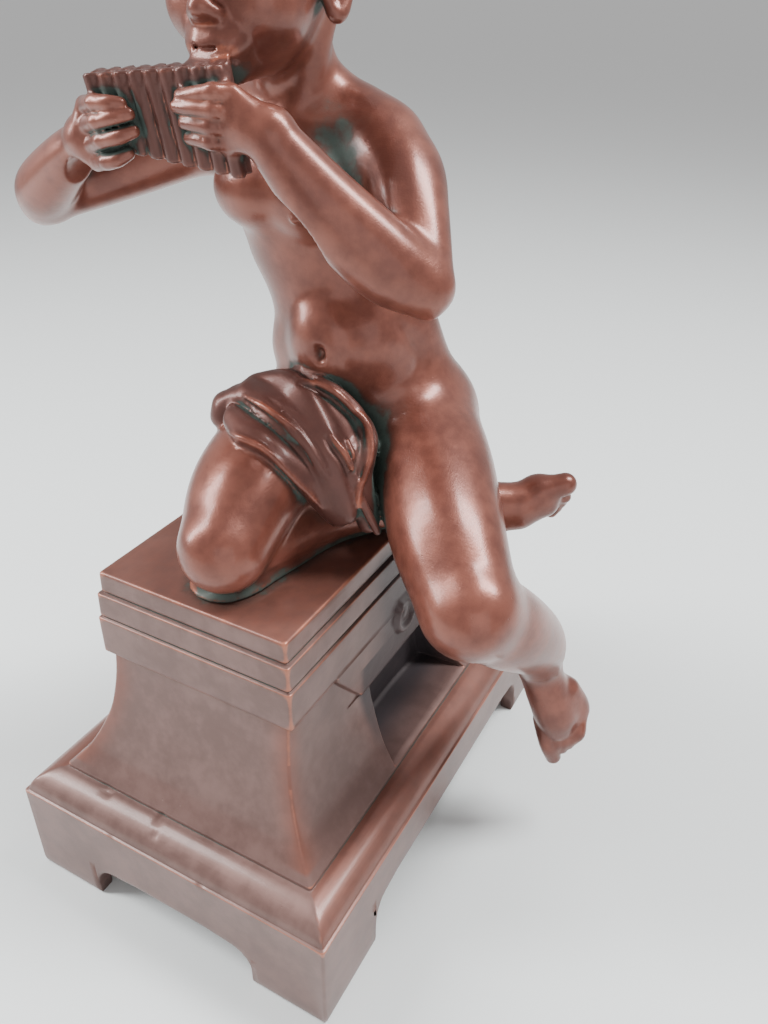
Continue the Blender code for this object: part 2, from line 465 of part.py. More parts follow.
CLOTH_LINES = [
    (0.55, [(-20.3, 2.6, 92.5), (-23.2, -1.0, 92.2), (-23.4, -4.0, 91.6), (-22.8, -6.4, 90.6),
            (-22.2, -9.0, 88.5), (-20.7, -11.6, 84.4), (-18.9, -13.6, 80.3), (-17.3, -15.7, 77.0)]),
    (0.75, [(-9.2, -8.2, 98.2), (-8.7, -11.2, 96.9), (-8.0, -13.5, 95.0), (-7.6, -15.7, 92.5),
            (-8.9, -17.4, 89.9), (-11.9, -17.2, 87.4), (-14.2, -17.6, 85.5), (-14.9, -18.8, 83.3),
            (-15.3, -20.0, 81.0),
            (-15.6, -21.6, 78.7), (-15.7, -23.2, 76.3)]),
    (0.65, [(-14.2, -12.4, 92.6), (-14.7, -13.9, 91.5), (-14.8, -15.4, 89.9), (-15.0, -17.0, 88.0),
            (-15.0, -18.0, 86.6)]),
    (0.5, [(-12.6, -15.6, 89.9), (-13.4, -17.1, 88.2), (-13.8, -17.9, 87.0)]),
    (0.4, [(-17.4, -0.8, 95.6), (-18.0, -3.9, 94.9), (-18.1, -6.6, 93.6), (-18.1, -8.6, 92.3)]),
    (0.4, [(-18.0, -0.6, 94.4), (-18.7, -4.2, 93.6), (-19.0, -7.2, 92.1), (-18.9, -9.8, 90.3),
           (-18.7, -12.2, 88.0)]),
]
BUNCH = [((-15.2, 6.6, 92.4), (3.0, 3.0, 2.6)), ((-14.0, 4.6, 94.2), (2.8, 2.6, 2.0)),
         ((-16.3, 6.9, 90.6), (2.4, 2.6, 2.2))]


def cloth(c):
    """A sheet woven from the rows, with its rolled hems and sharper folds laid on as lines."""
    rows = np.array([path for r, path in CLOTH_ROWS])
    sheet = [eased(rows[:, i], [r for r, path in CLOTH_ROWS], 4) for i in range(rows.shape[1])]
    for j in range(len(sheet[0][0])):
        c.limb([p[j] for p, r in sheet], [r[j] for p, r in sheet], k=0.5, per=3)
    c.limb([(-10.5, -16.6, 87), (-12.6, -18.2, 81), (-13.6, -20.2, 76)], [2.2, 2.3, 1.9], k=1.5)
    for r, path in CLOTH_LINES:
        c.limb(path, [r] * len(path), k=0.4)
    for centre, radii in BUNCH:
        c.mass(centre, radii, k=1.0)


class Turned:
    """Passes shapes on to the clay after turning them about a pivot."""

    def __init__(self, c, pivot, rotation):
        self.c, self.pivot, self.rotation = c, np.array(pivot, float), rotation

    def move(self, p):
        return self.pivot + self.rotation @ (np.asarray(p, float) - self.pivot)

    def limb(self, path, radii, **how):
        self.c.limb([self.move(p) for p in path], radii, **how)

    def mass(self, centre, radii, rotation=None, **how):
        own = np.eye(3) if rotation is None else rotation
        self.c.mass(self.move(centre), radii, self.rotation @ own, **how)


HEAD_Y = 0.6


def head(c):
    """A plain, calm child's face; the features mirror about the middle line."""
    c = Turned(c, (-6, HEAD_Y, 150), turn(0, 0, 4))
    L, M, y0 = c.limb, c.mass, HEAD_Y
    M((-6.6, y0, 161), (13.4, 11.4, 12.6), k=2)
    M((-12.0, y0, 154.2), (9.0, 9.5, 11.0), k=3.5)
    M((-17.4, y0, 145.6), (3.3, 3.3, 2.7), k=3)
    for s in (-1, 1):
        M((-15.0, y0 + s * 5.6, 152.4), (4.6, 3.9, 4.2), k=3)
        M((-20.9, y0 + s * 4.2, 157.0), (2.0, 3.0, 1.8), k=1.8, cut=True)
        M((-18.7, y0 + s * 4.2, 156.8), (2.2, 2.4, 2.0), k=0.3)
        L([(-18.6, y0 + s * 1.8, 156.6), (-20.35, y0 + s * 3.2, 157.9), (-20.2, y0 + s * 5.0, 158.0),
           (-18.2, y0 + s * 7.0, 156.7)], [0.45, 0.6, 0.6, 0.45], k=0.5)
        L([(-18.8, y0 + s * 1.9, 156.4), (-20.1, y0 + s * 3.4, 155.5), (-19.8, y0 + s * 5.2, 155.5),
           (-18.2, y0 + s * 7.0, 156.5)], [0.4, 0.5, 0.5, 0.4], k=0.6)
        L([(-20.6, y0 + s * 1.4, 159.2), (-20.9, y0 + s * 3.6, 160.5), (-19.5, y0 + s * 6.2, 160.6),
           (-17.2, y0 + s * 8.4, 159.4)], [0.5, 0.6, 0.6, 0.4], k=2.4)
        M((-21.8, y0 + s * 1.65, 151.7), (1.3, 0.85, 0.95), k=0.9)
        M((-22.2, y0 + s * 0.95, 150.65), (0.6, 0.45, 0.4), k=0.3, cut=True)
        L([(-9.0, y0 + s * 10.7, 153.2), (-8.0, y0 + s * 12.0, 151.4), (-6.0, y0 + s * 12.6, 154.2),
           (-5.6, y0 + s * 13.1, 158.0), (-7.6, y0 + s * 12.9, 160.6), (-9.6, y0 + s * 11.6, 158.6),
           (-9.2, y0 + s * 11.0, 156.4)], [0.7, 1.2, 0.85, 0.8, 0.75, 0.75, 0.6], k=0.6)
        M((-7.4, y0 + s * 11.2, 155.4), (2.0, 1.0, 3.6), k=0.8)
        L([(-6.6, y0 + s * 12.9, 160.0), (-5.4, y0 + s * 13.9, 163.0)], [0.9, 0.35], k=0.8)
        L([(-14.6, y0 + s * 4.6, 169.6), (-15.9, y0 + s * 4.9, 172.6)], [1.7, 1.0], k=0.8)
    L([(-20.0, y0, 158.4), (-21.5, y0, 155.2), (-22.6, y0, 152.9)], [0.9, 1.0, 1.2], k=1.4)
    M((-22.9, y0, 152.2), (1.5, 1.55, 1.35), k=0.8)
    M((-20.0, y0, 148.2), (2.4, 4.2, 2.6), k=2.5)
    M((-21.6, y0 + 0.6, 144.8), (1.7, 3.0, 1.6), k=1.2)
    L([(-19.9, y0 - 3.4, 147.7), (-21.6, y0 - 1.7, 148.5), (-22.1, y0, 148.2), (-21.6, y0 + 1.7, 148.5),
       (-19.9, y0 + 3.4, 147.7)], [0.35, 0.75, 0.75, 0.75, 0.35], k=0.8)
    L([(-19.9, y0 - 3.1, 147.3), (-21.4, y0 - 1.6, 146.7), (-21.8, y0, 146.5), (-21.4, y0 + 1.6, 146.7),
       (-19.9, y0 + 3.1, 147.3)], [0.35, 0.85, 0.95, 0.85, 0.35], k=0.8)
    L([(-20.6, y0 - 3.0, 147.5), (-22.6, y0 - 1.2, 147.6), (-22.9, y0, 147.4), (-22.6, y0 + 1.2, 147.6),
       (-20.6, y0 + 3.0, 147.5)], [0.15, 0.2, 0.2, 0.2, 0.15], k=0.5, cut=True)
    L([(-22.3, y0, 149.4), (-22.5, y0, 150.4)], [0.3, 0.3], k=0.6, cut=True)


HAIR_CENTRE, HAIR_RADII, HAIR_COUNT = np.array([-6.4, HEAD_Y, 161.2]), np.array([13.5, 11.9, 13.0]), 120


def hair(c):
    """Short curls: comma shapes spread evenly over the scalp and combed down and forward."""
    c = Turned(c, (-6, HEAD_Y, 150), turn(0, 0, 4))
    c.mass((-5.2, HEAD_Y, 162.6), (13.0, 12.1, 12.6), k=1.2)
    for i in range(HAIR_COUNT):
        z = 1 - 1.42 * (i + 0.5) / HAIR_COUNT
        angle = i * np.pi * (3 - 5 ** 0.5)
        d = np.array([np.cos(angle) * np.sqrt(1 - z * z), np.sin(angle) * np.sqrt(1 - z * z), z])
        face = d[0] < -0.35 and z < 0.34 + 0.25 * abs(d[1])
        cheek = d[0] < 0.15 and z < 0.05
        ear = abs(d[1]) > 0.62 and d[0] < 0.25 and z < 0.12
        if face or cheek or ear:
            continue
        normal = unit(d / HAIR_RADII)
        comb = np.array([-0.35, 0, -1.0])
        comb = unit(comb - normal * (comb @ normal))
        side = np.cross(normal, comb) * (1 if i % 2 else -1)
        p = HAIR_CENTRE + HAIR_RADII * d
        c.limb([p - comb * 1.9 + normal * 0.15, p + side * 1.3 + normal * 0.75,
                p + comb * 1.8 + side * 0.6 + normal * 0.55, p + comb * 2.2 - side * 0.9 + normal * 0.1],
               [0.85, 1.15, 1.0, 0.6], k=0.45)


def make_figure():
    clay = Solids()
    trunk(clay)
    clay = fused(clay, 4.0)
    arms(clay)
    legs(clay)
    clay = fused(clay, 1.6)
    for part in (feet, small_forms, cloth, pan_pipes, hands, head, hair):
        part(clay)
    ob = clay.build("faun_figure")
    # the sculpted points put the seat at 66.9; they are scaled and raised to the plinth's top
    raised = Matrix.Translation((0, 0, (PLINTH_HEIGHT - FIGURE_SEAT) * MM))
    ob.data.transform(raised @ Matrix.Scale(FIGURE_SEAT / 66.9, 4))
    fuse = ob.modifiers.new("fuse", "REMESH")
    fuse.mode = "VOXEL"
    fuse.voxel_size = VOXEL * MM
    soften = ob.modifiers.new("soften", "SMOOTH")
    soften.factor = 0.5
    soften.iterations = SMOOTH_STEPS
    thin = ob.modifiers.new("thin", "DECIMATE")
    thin.ratio = FIGURE_TRIANGLES / 93400
    seat = bmesh.new()
    bmesh.ops.create_cube(seat, size=1)
    size = (BASE_LENGTH - 2 * SEAT_INSET + 2 * GAP, BASE_WIDTH - 2 * SEAT_INSET + 2 * GAP, SEAT_CUT)
    bmesh.ops.scale(seat, vec=size, verts=seat.verts)
    bmesh.ops.translate(seat, vec=(0, 0, PLINTH_HEIGHT + GAP - SEAT_CUT / 2), verts=seat.verts)
    cut(ob, place("seat_plane", seat, tools))
    return ob


plinth = make_plinth()
figure = make_figure()

# the origin is the middle of the whole work's box, at the height of the table
bpy.context.view_layer.update()
graph = bpy.context.evaluated_depsgraph_get()
meshes = [ob.evaluated_get(graph).to_mesh() for ob in (plinth, figure)]
corners = np.array([v.co[:] for mesh in meshes for v in mesh.vertices])
middle = (corners.min(0) + corners.max(0)) / 2
root = bpy.data.objects.new("faun_statue_root", None)
work.objects.link(root)
root.location = (-middle[0], -middle[1], -corners[:, 2].min())
for ob in list(work.objects) + list(tools.objects):
    if ob != root:
        ob.parent = root
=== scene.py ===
"""Patinated bronze statuette: a seated boy faun playing pan pipes on a moulded plinth.

The boy, his cloth and his pipes are one skin, taken from a field of distances: every limb is a
chain of tapering round rods, every muscle an ellipsoid, and neighbours melt into each other.
The plinth is a stack of rings that follow its profile, from the middle of the top down the
outside, through the feet and up the hollow. Shapes are in millimetres until mesh_piece.
"""
import bmesh
import bpy
import numpy as np
from mathutils import Matrix, Vector


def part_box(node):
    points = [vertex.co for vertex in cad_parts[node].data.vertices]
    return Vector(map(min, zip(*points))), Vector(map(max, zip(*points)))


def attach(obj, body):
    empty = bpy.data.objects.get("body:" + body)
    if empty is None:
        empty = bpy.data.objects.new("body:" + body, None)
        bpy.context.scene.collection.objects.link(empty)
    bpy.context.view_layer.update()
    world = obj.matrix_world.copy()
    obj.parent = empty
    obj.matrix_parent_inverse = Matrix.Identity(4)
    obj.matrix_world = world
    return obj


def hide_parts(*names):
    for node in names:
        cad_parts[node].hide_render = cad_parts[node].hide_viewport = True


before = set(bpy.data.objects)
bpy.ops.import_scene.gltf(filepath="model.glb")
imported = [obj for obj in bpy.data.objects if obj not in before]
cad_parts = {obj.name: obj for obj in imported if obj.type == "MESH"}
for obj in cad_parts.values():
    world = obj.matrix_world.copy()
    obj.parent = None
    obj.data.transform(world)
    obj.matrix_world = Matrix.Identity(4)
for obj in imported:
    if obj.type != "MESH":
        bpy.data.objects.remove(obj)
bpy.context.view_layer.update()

MM = 0.001
STEP = 0.34
REACH = 3.0
EMPTY = REACH + 3.0
SOFTENINGS = 6
FIGURE_TRIANGLES = 192000
PLINTH_HEIGHT, FEET_Z, SEAT_HALF_LENGTH, SEAT_HALF_WIDTH, GAP = 66.9, -4.0, 38.75, 19.65, 0.3
low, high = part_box("plinth")
CENTRE = np.array([(low[0] + high[0]) / 2, (low[1] + high[1]) / 2, low[2] - FEET_Z * MM])


def eased(path, radii, per):
    """Catmull-Rom curve through the path, with the radii eased in the same way."""
    q = np.hstack([np.asarray(path, float), np.asarray(radii, float).reshape(-1, 1)])
    if len(q) > 2:
        ext = np.vstack([2 * q[0] - q[1], q, 2 * q[-1] - q[-2]])
        t = np.linspace(0, 1, per, endpoint=False)[:, None]
        rows = []
        for a, b, c, d in zip(ext[:-3], ext[1:-2], ext[2:-1], ext[3:]):
            bend, twist = 2 * a - 5 * b + 4 * c - d, 3 * b - a - 3 * c + d
            rows.append(0.5 * (2 * b + (c - a) * t + bend * t ** 2 + twist * t ** 3))
        q = np.vstack(rows + [q[-1:]])
    return q[:, :3].astype(np.float32), q[:, 3].astype(np.float32)


class Clay:
    """A block of distances to the surface, below zero inside; shapes are melted in or pared off."""

    def __init__(self, low, high, step):
        self.low, self.step = np.asarray(low, float), step
        self.shape = np.ceil((np.asarray(high) - self.low) / step).astype(int) + 1
        self.field = np.full(self.shape, EMPTY, np.float32)

    def window(self, low, high):
        a = np.clip(np.floor((np.asarray(low) - self.low) / self.step).astype(int), 0, self.shape)
        b = np.clip(np.ceil((np.asarray(high) - self.low) / self.step).astype(int) + 1, a, self.shape)
        axes = [(self.low[i] + self.step * np.arange(a[i], b[i])).astype(np.float32) for i in range(3)]
        return a, b, (axes[0][:, None, None], axes[1][None, :, None], axes[2][None, None, :])

    def merge(self, a, b, d, k, cut):
        """Smooth minimum (or maximum, when cut): a parabola of width k rounds the crease."""
        here = self.field[a[0]:b[0], a[1]:b[1], a[2]:b[2]]
        d = -d if cut else d
        h = np.maximum(k - np.abs(here - d), 0) ** 2 / (4 * k)
        here[...] = np.maximum(here, d) + h if cut else np.minimum(here, d) - h

    def limb(self, path, radii, k=1.0, cut=False, per=8):
        """Distance to a chain of rods whose radius changes evenly from joint to joint."""
        p, r = eased(path, radii, per)
        pad = max(k, REACH) + r.max()
        a, b, axes = self.window(p.min(0) - pad, p.max(0) + pad)
        best = np.full(b - a, EMPTY, np.float32)
        for p0, p1, r0, r1 in zip(p[:-1], p[1:], r[:-1], r[1:]):
            way = p1 - p0
            if way @ way < 1e-8:
                continue
            reach = max(k, REACH) + max(r0, r1)
            s, e, (x, y, z) = self.window(np.minimum(p0, p1) - reach, np.maximum(p0, p1) + reach)
            x, y, z = x - p0[0], y - p0[1], z - p0[2]
            t = np.clip((x * way[0] + y * way[1] + z * way[2]) / (way @ way), 0, 1)
            d = np.sqrt((x - t * way[0]) ** 2 + (y - t * way[1]) ** 2 + (z - t * way[2]) ** 2)
            d = d - (r0 + t * (r1 - r0))
            s, e = s - a, e - a
            part = best[s[0]:e[0], s[1]:e[1], s[2]:e[2]]
            np.minimum(part, d, out=part)
        self.merge(a, b, best, k, cut)

    def mass(self, centre, radii, rotation=None, k=1.0, cut=False):
        """Distance to an ellipsoid, as the usual quotient of the scaled length and its slope."""
        spin = (np.eye(3) if rotation is None else rotation).astype(np.float32)
        radii, centre = np.asarray(radii, np.float32), np.asarray(centre, np.float32)
        pad = np.sqrt(((spin * radii) ** 2).sum(1)) + max(k, REACH)
        a, b, (x, y, z) = self.window(centre - pad, centre + pad)
        x, y, z = x - centre[0], y - centre[1], z - centre[2]
        q = [(x * spin[0, i] + y * spin[1, i] + z * spin[2, i]) / radii[i] for i in range(3)]
        size = np.sqrt(q[0] ** 2 + q[1] ** 2 + q[2] ** 2)
        slope = np.sqrt(sum((v / r) ** 2 for v, r in zip(q, radii)))
        self.merge(a, b, size * (size - 1) / np.maximum(slope, 1e-6), k, cut)

    def soften(self, times):
        """Averages each value with its neighbours along the three axes, a quarter from each side."""
        for axis in range(3):
            f = np.moveaxis(self.field, axis, 0)
            for _ in range(times):
                f[1:-1] = (f[:-2] + 2 * f[1:-1] + f[2:]) / 4

    def seat(self):
        """Pares the underside flat, so that it rests just clear of the plinth's top."""
        half = np.array([SEAT_HALF_LENGTH + GAP, SEAT_HALF_WIDTH + GAP])
        a, b, (x, y, z) = self.window((-half[0] - 4, -half[1] - 4, 40),
                                      (half[0] + 4, half[1] + 4, PLINTH_HEIGHT + 5))
        d = np.maximum(np.maximum(np.abs(x) - half[0], np.abs(y) - half[1]), z - (PLINTH_HEIGHT + GAP))
        self.merge(a, b, d + np.zeros(b - a, np.float32), 0.3, True)

    def sample(self, points):
        """Reads the field at any points, weighting the eight corners of each cell."""
        q = (points - self.low) / self.step
        i = np.clip(np.floor(q).astype(int), 0, self.shape - 2)
        t = (q - i).astype(np.float32)
        total = np.zeros(len(q), np.float32)
        for cx in (0, 1):
            for cy in (0, 1):
                for cz in (0, 1):
                    w = abs(1 - cx - t[:, 0]) * abs(1 - cy - t[:, 1]) * abs(1 - cz - t[:, 2])
                    total += w * self.field[i[:, 0] + cx, i[:, 1] + cy, i[:, 2] + cz]
        return total

    def skin(self):
        """Surface nets: one point in each cell that the surface crosses, at the mean of its edge
        crossings, and one four-sided face round each grid edge that changes side."""
        f, inside = self.field, self.field < 0
        n = self.shape - 1
        corners = [(i, j, k) for i in (0, 1) for j in (0, 1) for k in (0, 1)]
        count = sum(inside[c[0]:c[0] + n[0], c[1]:c[1] + n[1], c[2]:c[2] + n[2]].astype(np.int8)
                    for c in corners)
        crossed = (count > 0) & (count < 8)
        number = np.full(crossed.shape, -1, np.int32)
        cells = np.argwhere(crossed)
        number[crossed] = np.arange(len(cells))
        value = {c: f[cells[:, 0] + c[0], cells[:, 1] + c[1], cells[:, 2] + c[2]] for c in corners}
        total, hits = np.zeros((len(cells), 3)), np.zeros(len(cells))
        for a in corners:
            for axis in range(3):
                if a[axis]:
                    continue
                b = tuple(1 if i == axis else v for i, v in enumerate(a))
                change = (value[a] < 0) != (value[b] < 0)
                t = value[a][change] / (value[a][change] - value[b][change])
                point = np.tile(np.array(a, float), (change.sum(), 1))
                point[:, axis] += t
                total[change] += point
                hits[change] += 1
        verts = self.low + self.step * (cells + total / hits[:, None])
        faces = []
        for axis in range(3):
            u, v = (axis + 1) % 3, (axis + 2) % 3
            near, far = [slice(None)] * 3, [slice(None)] * 3
            near[axis], far[axis] = slice(0, -1), slice(1, None)
            edge = np.argwhere(inside[tuple(near)] != inside[tuple(far)])
            ring = []
            for du, dv in ((1, 1), (0, 1), (0, 0), (1, 0)):
                cell = edge.copy()
                cell[:, u] -= du
                cell[:, v] -= dv
                ring.append(number[cell[:, 0], cell[:, 1], cell[:, 2]])
            quad = np.stack(ring, 1)
            outward = inside[edge[:, 0], edge[:, 1], edge[:, 2]]
            quad[~outward] = quad[~outward][:, ::-1]
            faces.append(quad)
        return verts, np.vstack(faces)


def turn(x=0.0, y=0.0, z=0.0):
    """Rotation matrix for turns about x, then y, then z, in degrees."""
    x, y, z = np.radians([x, y, z])
    rx = np.array([[1, 0, 0], [0, np.cos(x), -np.sin(x)], [0, np.sin(x), np.cos(x)]])
    ry = np.array([[np.cos(y), 0, np.sin(y)], [0, 1, 0], [-np.sin(y), 0, np.cos(y)]])
    rz = np.array([[np.cos(z), -np.sin(z), 0], [np.sin(z), np.cos(z), 0], [0, 0, 1]])
    return rz @ ry @ rx


def unit(v):
    return np.asarray(v, float) / np.linalg.norm(v)


# Joints of the seated boy, in millimetres: plinth centre at x = y = 0, table top at z = 0.
# The boy looks along -x; his left side is towards -y.
HIP_L, KNEE_L, ANKLE_L = (11, -17.5, 84), (-20.3, -42.6, 70.4), (6.7, -47.3, 40.5)
HIP_R, KNEE_R, ANKLE_R = (11, 1.5, 84), (-32.6, -4.1, 76.2), (5, -24, 72.3)
SHOULDER_L, ELBOW_L, WRIST_L = (2, -14, 134), (-12.4, -29, 118), (-23.0, -10.5, 138.3)
SHOULDER_R, ELBOW_R, WRIST_R = (-2, 16.5, 134), (-18.7, 38.9, 123.7), (-25.4, 19.6, 135.6)


def trunk(c):
    L, M = c.limb, c.mass
    M((3.2, -1.4, 121.5), (11.2, 13.6, 15.8), turn(0, 6, 0), k=3)
    M((0.4, 0.3, 128), (10.4, 13.2, 10), turn(0, 4, 0), k=4)
    M((3.5, -6.2, 103), (11.0, 13.0, 12.5), k=6)
    M((9.5, -8.0, 90), (12.4, 15.8, 12.5), k=6)
    L([(7, -10.4, 113), (8.3, -14.0, 105), (11, -15.2, 96)], [5.5, 6.2, 6.6], k=4)
    M((1, 0.5, 99), (5.8, 6.2, 6), k=3.5)
    M((-1.2, -6.8, 101), (6.7, 7.5, 7.5), k=3)
    M((16.8, -15.7, 84), (10.2, 9.4, 10.6), k=5)
    M((16.5, 1, 82), (10.5, 10.2, 10.4), k=5)
    L([(15, -9, 92), (13.5, -6, 106), (12.5, -1, 122), (8.5, 0.3, 134)], [4, 4, 4.4, 4], k=5)
    M((12.0, -8, 126), (3, 4.6, 6.4), turn(0, -8, -12), k=4)
    M((11.4, 8.6, 126), (3, 4.6, 6.4), turn(0, -8, 12), k=4)
    M((-7.4, -6.6, 126.8), (3.4, 6.2, 4.8), turn(0, 0, 22), k=3.5)
    M((-8.4, 6.0, 126.8), (3.4, 6.2, 4.8), turn(0, 0, -22), k=3.5)
    L([(3, -5, 137.4), (3, -9.6, 136.6), SHOULDER_L], [6, 5.4, 5.6], k=4)
    L([(1, 7, 137), (0, 12, 136.2), SHOULDER_R], [6, 5.4, 5.8], k=4)
    L([(-5.0, -1.6, 137.0), (-3.8, -7, 137.4), (-1.0, -12.5, 137.3)], [0.7, 0.8, 0.7], k=3)
    L([(-5.4, 2.4, 137.0), (-4.6, 8, 137.4), (-3.4, 14, 137.3)], [0.7, 0.8, 0.7], k=3)
    L([(0.2, -18.1, 107.1), (4.1, -20.3, 100), (2.1, -20.7, 95.7)], [0.3, 0.4, 0.3], k=2, cut=True)
    L([(4, 0, 135), (0.0, 0.3, 143), (-4, 0.6, 152)], [7.4, 6.4, 7.0], k=3.5)
    L([(-5.4, -0.8, 137.0), (-3, -4.4, 144), (-2, -7, 151)], [0.9, 1.3, 1.4], k=2)


def arms(c):
    L = c.limb
    L([SHOULDER_L, (-1.4, -19.0, 130.4), (-5.6, -22.6, 126.2), ELBOW_L], [5.9, 6.3, 5.8, 4.1], k=2.5)
    L([ELBOW_L, (-15.0, -25.2, 122.0), (-19.5, -17.6, 130.2), WRIST_L], [3.6, 4.5, 3.9, 2.9], k=1.5)
    L([(-13.4, -27.4, 118.6), (-16.4, -23.8, 120.8), (-20.7, -16.6, 128.8), (-23.3, -11.2, 136.4)],
      [3.6, 4.5, 3.9, 2.7], k=3)
    L([(-12.6, -28.4, 117.4), (-13.5, -30.3, 114.6)], [2.8, 0.8], k=1.6)
    L([SHOULDER_R, (-9.5, 27.5, 129), ELBOW_R], [6.0, 5.2, 3.9], k=2.5)
    L([ELBOW_R, (-20.8, 35.8, 126.2), (-23.6, 27, 131.6), WRIST_R], [3.8, 4.6, 3.8, 2.9], k=1.5)
    L([(-18.4, 38.8, 123.0), (-18.9, 40.2, 121.8)], [3.0, 1.6], k=2)


def legs(c):
    L, M = c.limb, c.mass
    L([HIP_L, (0, -26, 81.2), (-11, -34.0, 76.6), KNEE_L], [10.8, 10.6, 9.8, 8.0], k=4.5)
    M((-22.2, -44.6, 71.2), (5.4, 5.4, 5.8), k=3)
    L([(-21.4, -42.4, 72.6), (-24.8, -46.2, 70.6)], [3.0, 2.6], k=2.5)
    L([KNEE_L, (-12.1, -45.9, 62.5), (-0.8, -47.9, 51.5), (7.0, -47.9, 40.8)], [7.4, 7.5, 6.3, 4.4], k=2.5)
    L([HIP_R, (-6, 0.4, 84.0), (-21.5, -1.2, 81.3), KNEE_R], [10.2, 10.3, 9.6, 7.4], k=4)
    M((-34.2, -3.8, 77.4), (4.8, 5.2, 5.2), k=3)
    M((-7, -9, 79.5), (8, 7.5, 9.5), k=3)
    L([(-30.4, -3.6, 73.0), (-23.5, -4.8, 72.2), (-13.0, -7.4, 71.8), (-4.5, -12.8, 71.8), ANKLE_R],
      [5.2, 5.4, 5.3, 4.9, 4.2], k=0.9)


def feet(c):
    L, M = c.limb, c.mass
    # left foot hangs: heel, arch, ball, then five toes set along the line across the foot
    L([ANKLE_L, (7.4, -49.9, 34.5), (8.0, -52.1, 29.0), (8.3, -52.9, 25.4)], [3.8, 4.4, 4.6, 3.9], k=2)
    L([(11.0, -47.1, 38.0), (12.4, -47.9, 34.0)], [3.7, 3.4], k=2)
    L([(10.4, -53.5, 33.0), (11.6, -55.7, 28.4), (11.0, -56.1, 26.0)], [2.6, 2.6, 2.2], k=2)
    across = np.array([0.48, -0.87, 0.02])
    toes = [(-3.3, 9.2, 1.75), (-0.3, 7.4, 1.4), (1.5, 6.8, 1.35), (3.1, 5.6, 1.3), (4.5, 4.2, 1.25)]
    for w, length, r in toes:
        root = np.array([8.6, -53.1, 26.0]) + across * w
        mid = root + np.array([-1.6, -1.1, -0.52 * length]) - across * w * (0.3 if w < -3 else 0.1)
        tip = root + np.array([-1.4, -0.6, -length]) - across * (w * (0.85 if w < -3 else 0.25) - 0.3)
        L([root, mid, tip], [r * 1.15, r, r * 0.95], k=0.35)
    # right foot lies with the sole up: heel, arch, ball, great toe, then the small toes below it
    L([ANKLE_R, (8.6, -29.0, 71.2), (12.6, -36.0, 71.0), (15.6, -41.0, 72.2)], [4.5, 4.3, 3.9, 3.2], k=2)
    L([(6.0, -26.5, 70.2), (9.6, -31.5, 68.8), (13.4, -37.5, 69.2)], [4.2, 4.0, 3.6], k=2)
    M((15.9, -40.6, 73.8), (2.8, 3.2, 2.7), k=1.6)
    L([(15.8, -41.6, 73.8), (17.4, -45.2, 75.3)], [2.6, 2.2], k=1.2)
    L([(14.0, -38.5, 70.4), (16.4, -42.0, 70.8)], [3.4, 2.6], k=2)
    for i, (out, drop) in enumerate([(1.5, 1.9), (2.2, 3.5), (2.4, 5.0), (2.2, 6.3)]):
        root = (14.8 + out * 0.6, -40.2, 73.8 - drop * 0.8)
        mid = (16.6 + out, -43.6 + 0.5 * i, 74.4 - drop)
        L([root, mid, (16.8 + out, -45.2 + 0.8 * i, 74.0 - drop)], [1.9, 1.35, 1.25], k=0.8)


def small_forms(c):
    """The low swell of ground beside the folded leg, the soft belly with its navel, and a nipple."""
    L, M = c.limb, c.mass
    L([(-31.8, 3.6, 66.0), (-34.0, 1.4, 66.1), (-34.9, -1.6, 66.1), (-33.8, -4.6, 66.1),
       (-30.0, -6.7, 66.1), (-24.8, -7.5, 66.1), (-19.2, -8.6, 66.1), (-12.8, -9.6, 66.1),
       (-7.6, -11.2, 66.1), (-4.3, -13.8, 66.1)], [1.6, 1.9, 2.0, 2.1, 2.2, 2.2, 2.2, 2.2, 2.1, 1.8], k=2.4)
    M((-6.2, -7.3, 104.2), (2.6, 4.6, 5.0), k=4)
    M((-9.2, -8.3, 102.6), (1.4, 0.8, 1.2), k=1.3, cut=True)
    M((-11.0, -5.6, 124.3), (0.6, 0.6, 0.6), k=0.7)


PIPE_COUNT, PIPE_R = 9, 1.2
PIPES_LEFT, PIPES_RIGHT = np.array([-24.4, -3.9, 146.1]), np.array([-27.2, 14.9, 144.3])


def pan_pipes(c):
    """Two rows of reeds side by side, the long ones at the boy's left hand."""
    down = unit([0.13, -0.09, -0.98])
    along = unit(PIPES_RIGHT - PIPES_LEFT)
    front = unit(np.cross(down, along))
    front = front if front[0] < 0 else -front
    for i in range(PIPE_COUNT):
        t = i / (PIPE_COUNT - 1)
        top = PIPES_LEFT + (PIPES_RIGHT - PIPES_LEFT) * t
        length = 13.9 - 5.6 * t
        for side, extra in ((0.7, 0.0), (-1.0, -0.3)):
            a = top + front * side
            c.limb([a - down * 0.4, a + down * (length + extra + 1)], [PIPE_R, PIPE_R * 0.95], k=0.35)
    c.limb([PIPES_LEFT + down * 1.6, PIPES_RIGHT + down * 1.6], [1.5, 1.5], k=0.3)
    # both ends are filed level, and the tops lightly bored
    for up_left, up_right in ((9.1, 9.1), (-23.6, -17.9)):
        file = [PIPES_LEFT - along * 3 - down * up_left, PIPES_RIGHT + along * 3 - down * up_right]
        c.limb(file, [9, 9], k=0.3, cut=True)
    for i in range(PIPE_COUNT):
        a = PIPES_LEFT + (PIPES_RIGHT - PIPES_LEFT) * i / (PIPE_COUNT - 1) - front * 0.1
        c.limb([a - down, a + down * 0.05], [0.45, 0.45], k=0.5, cut=True)


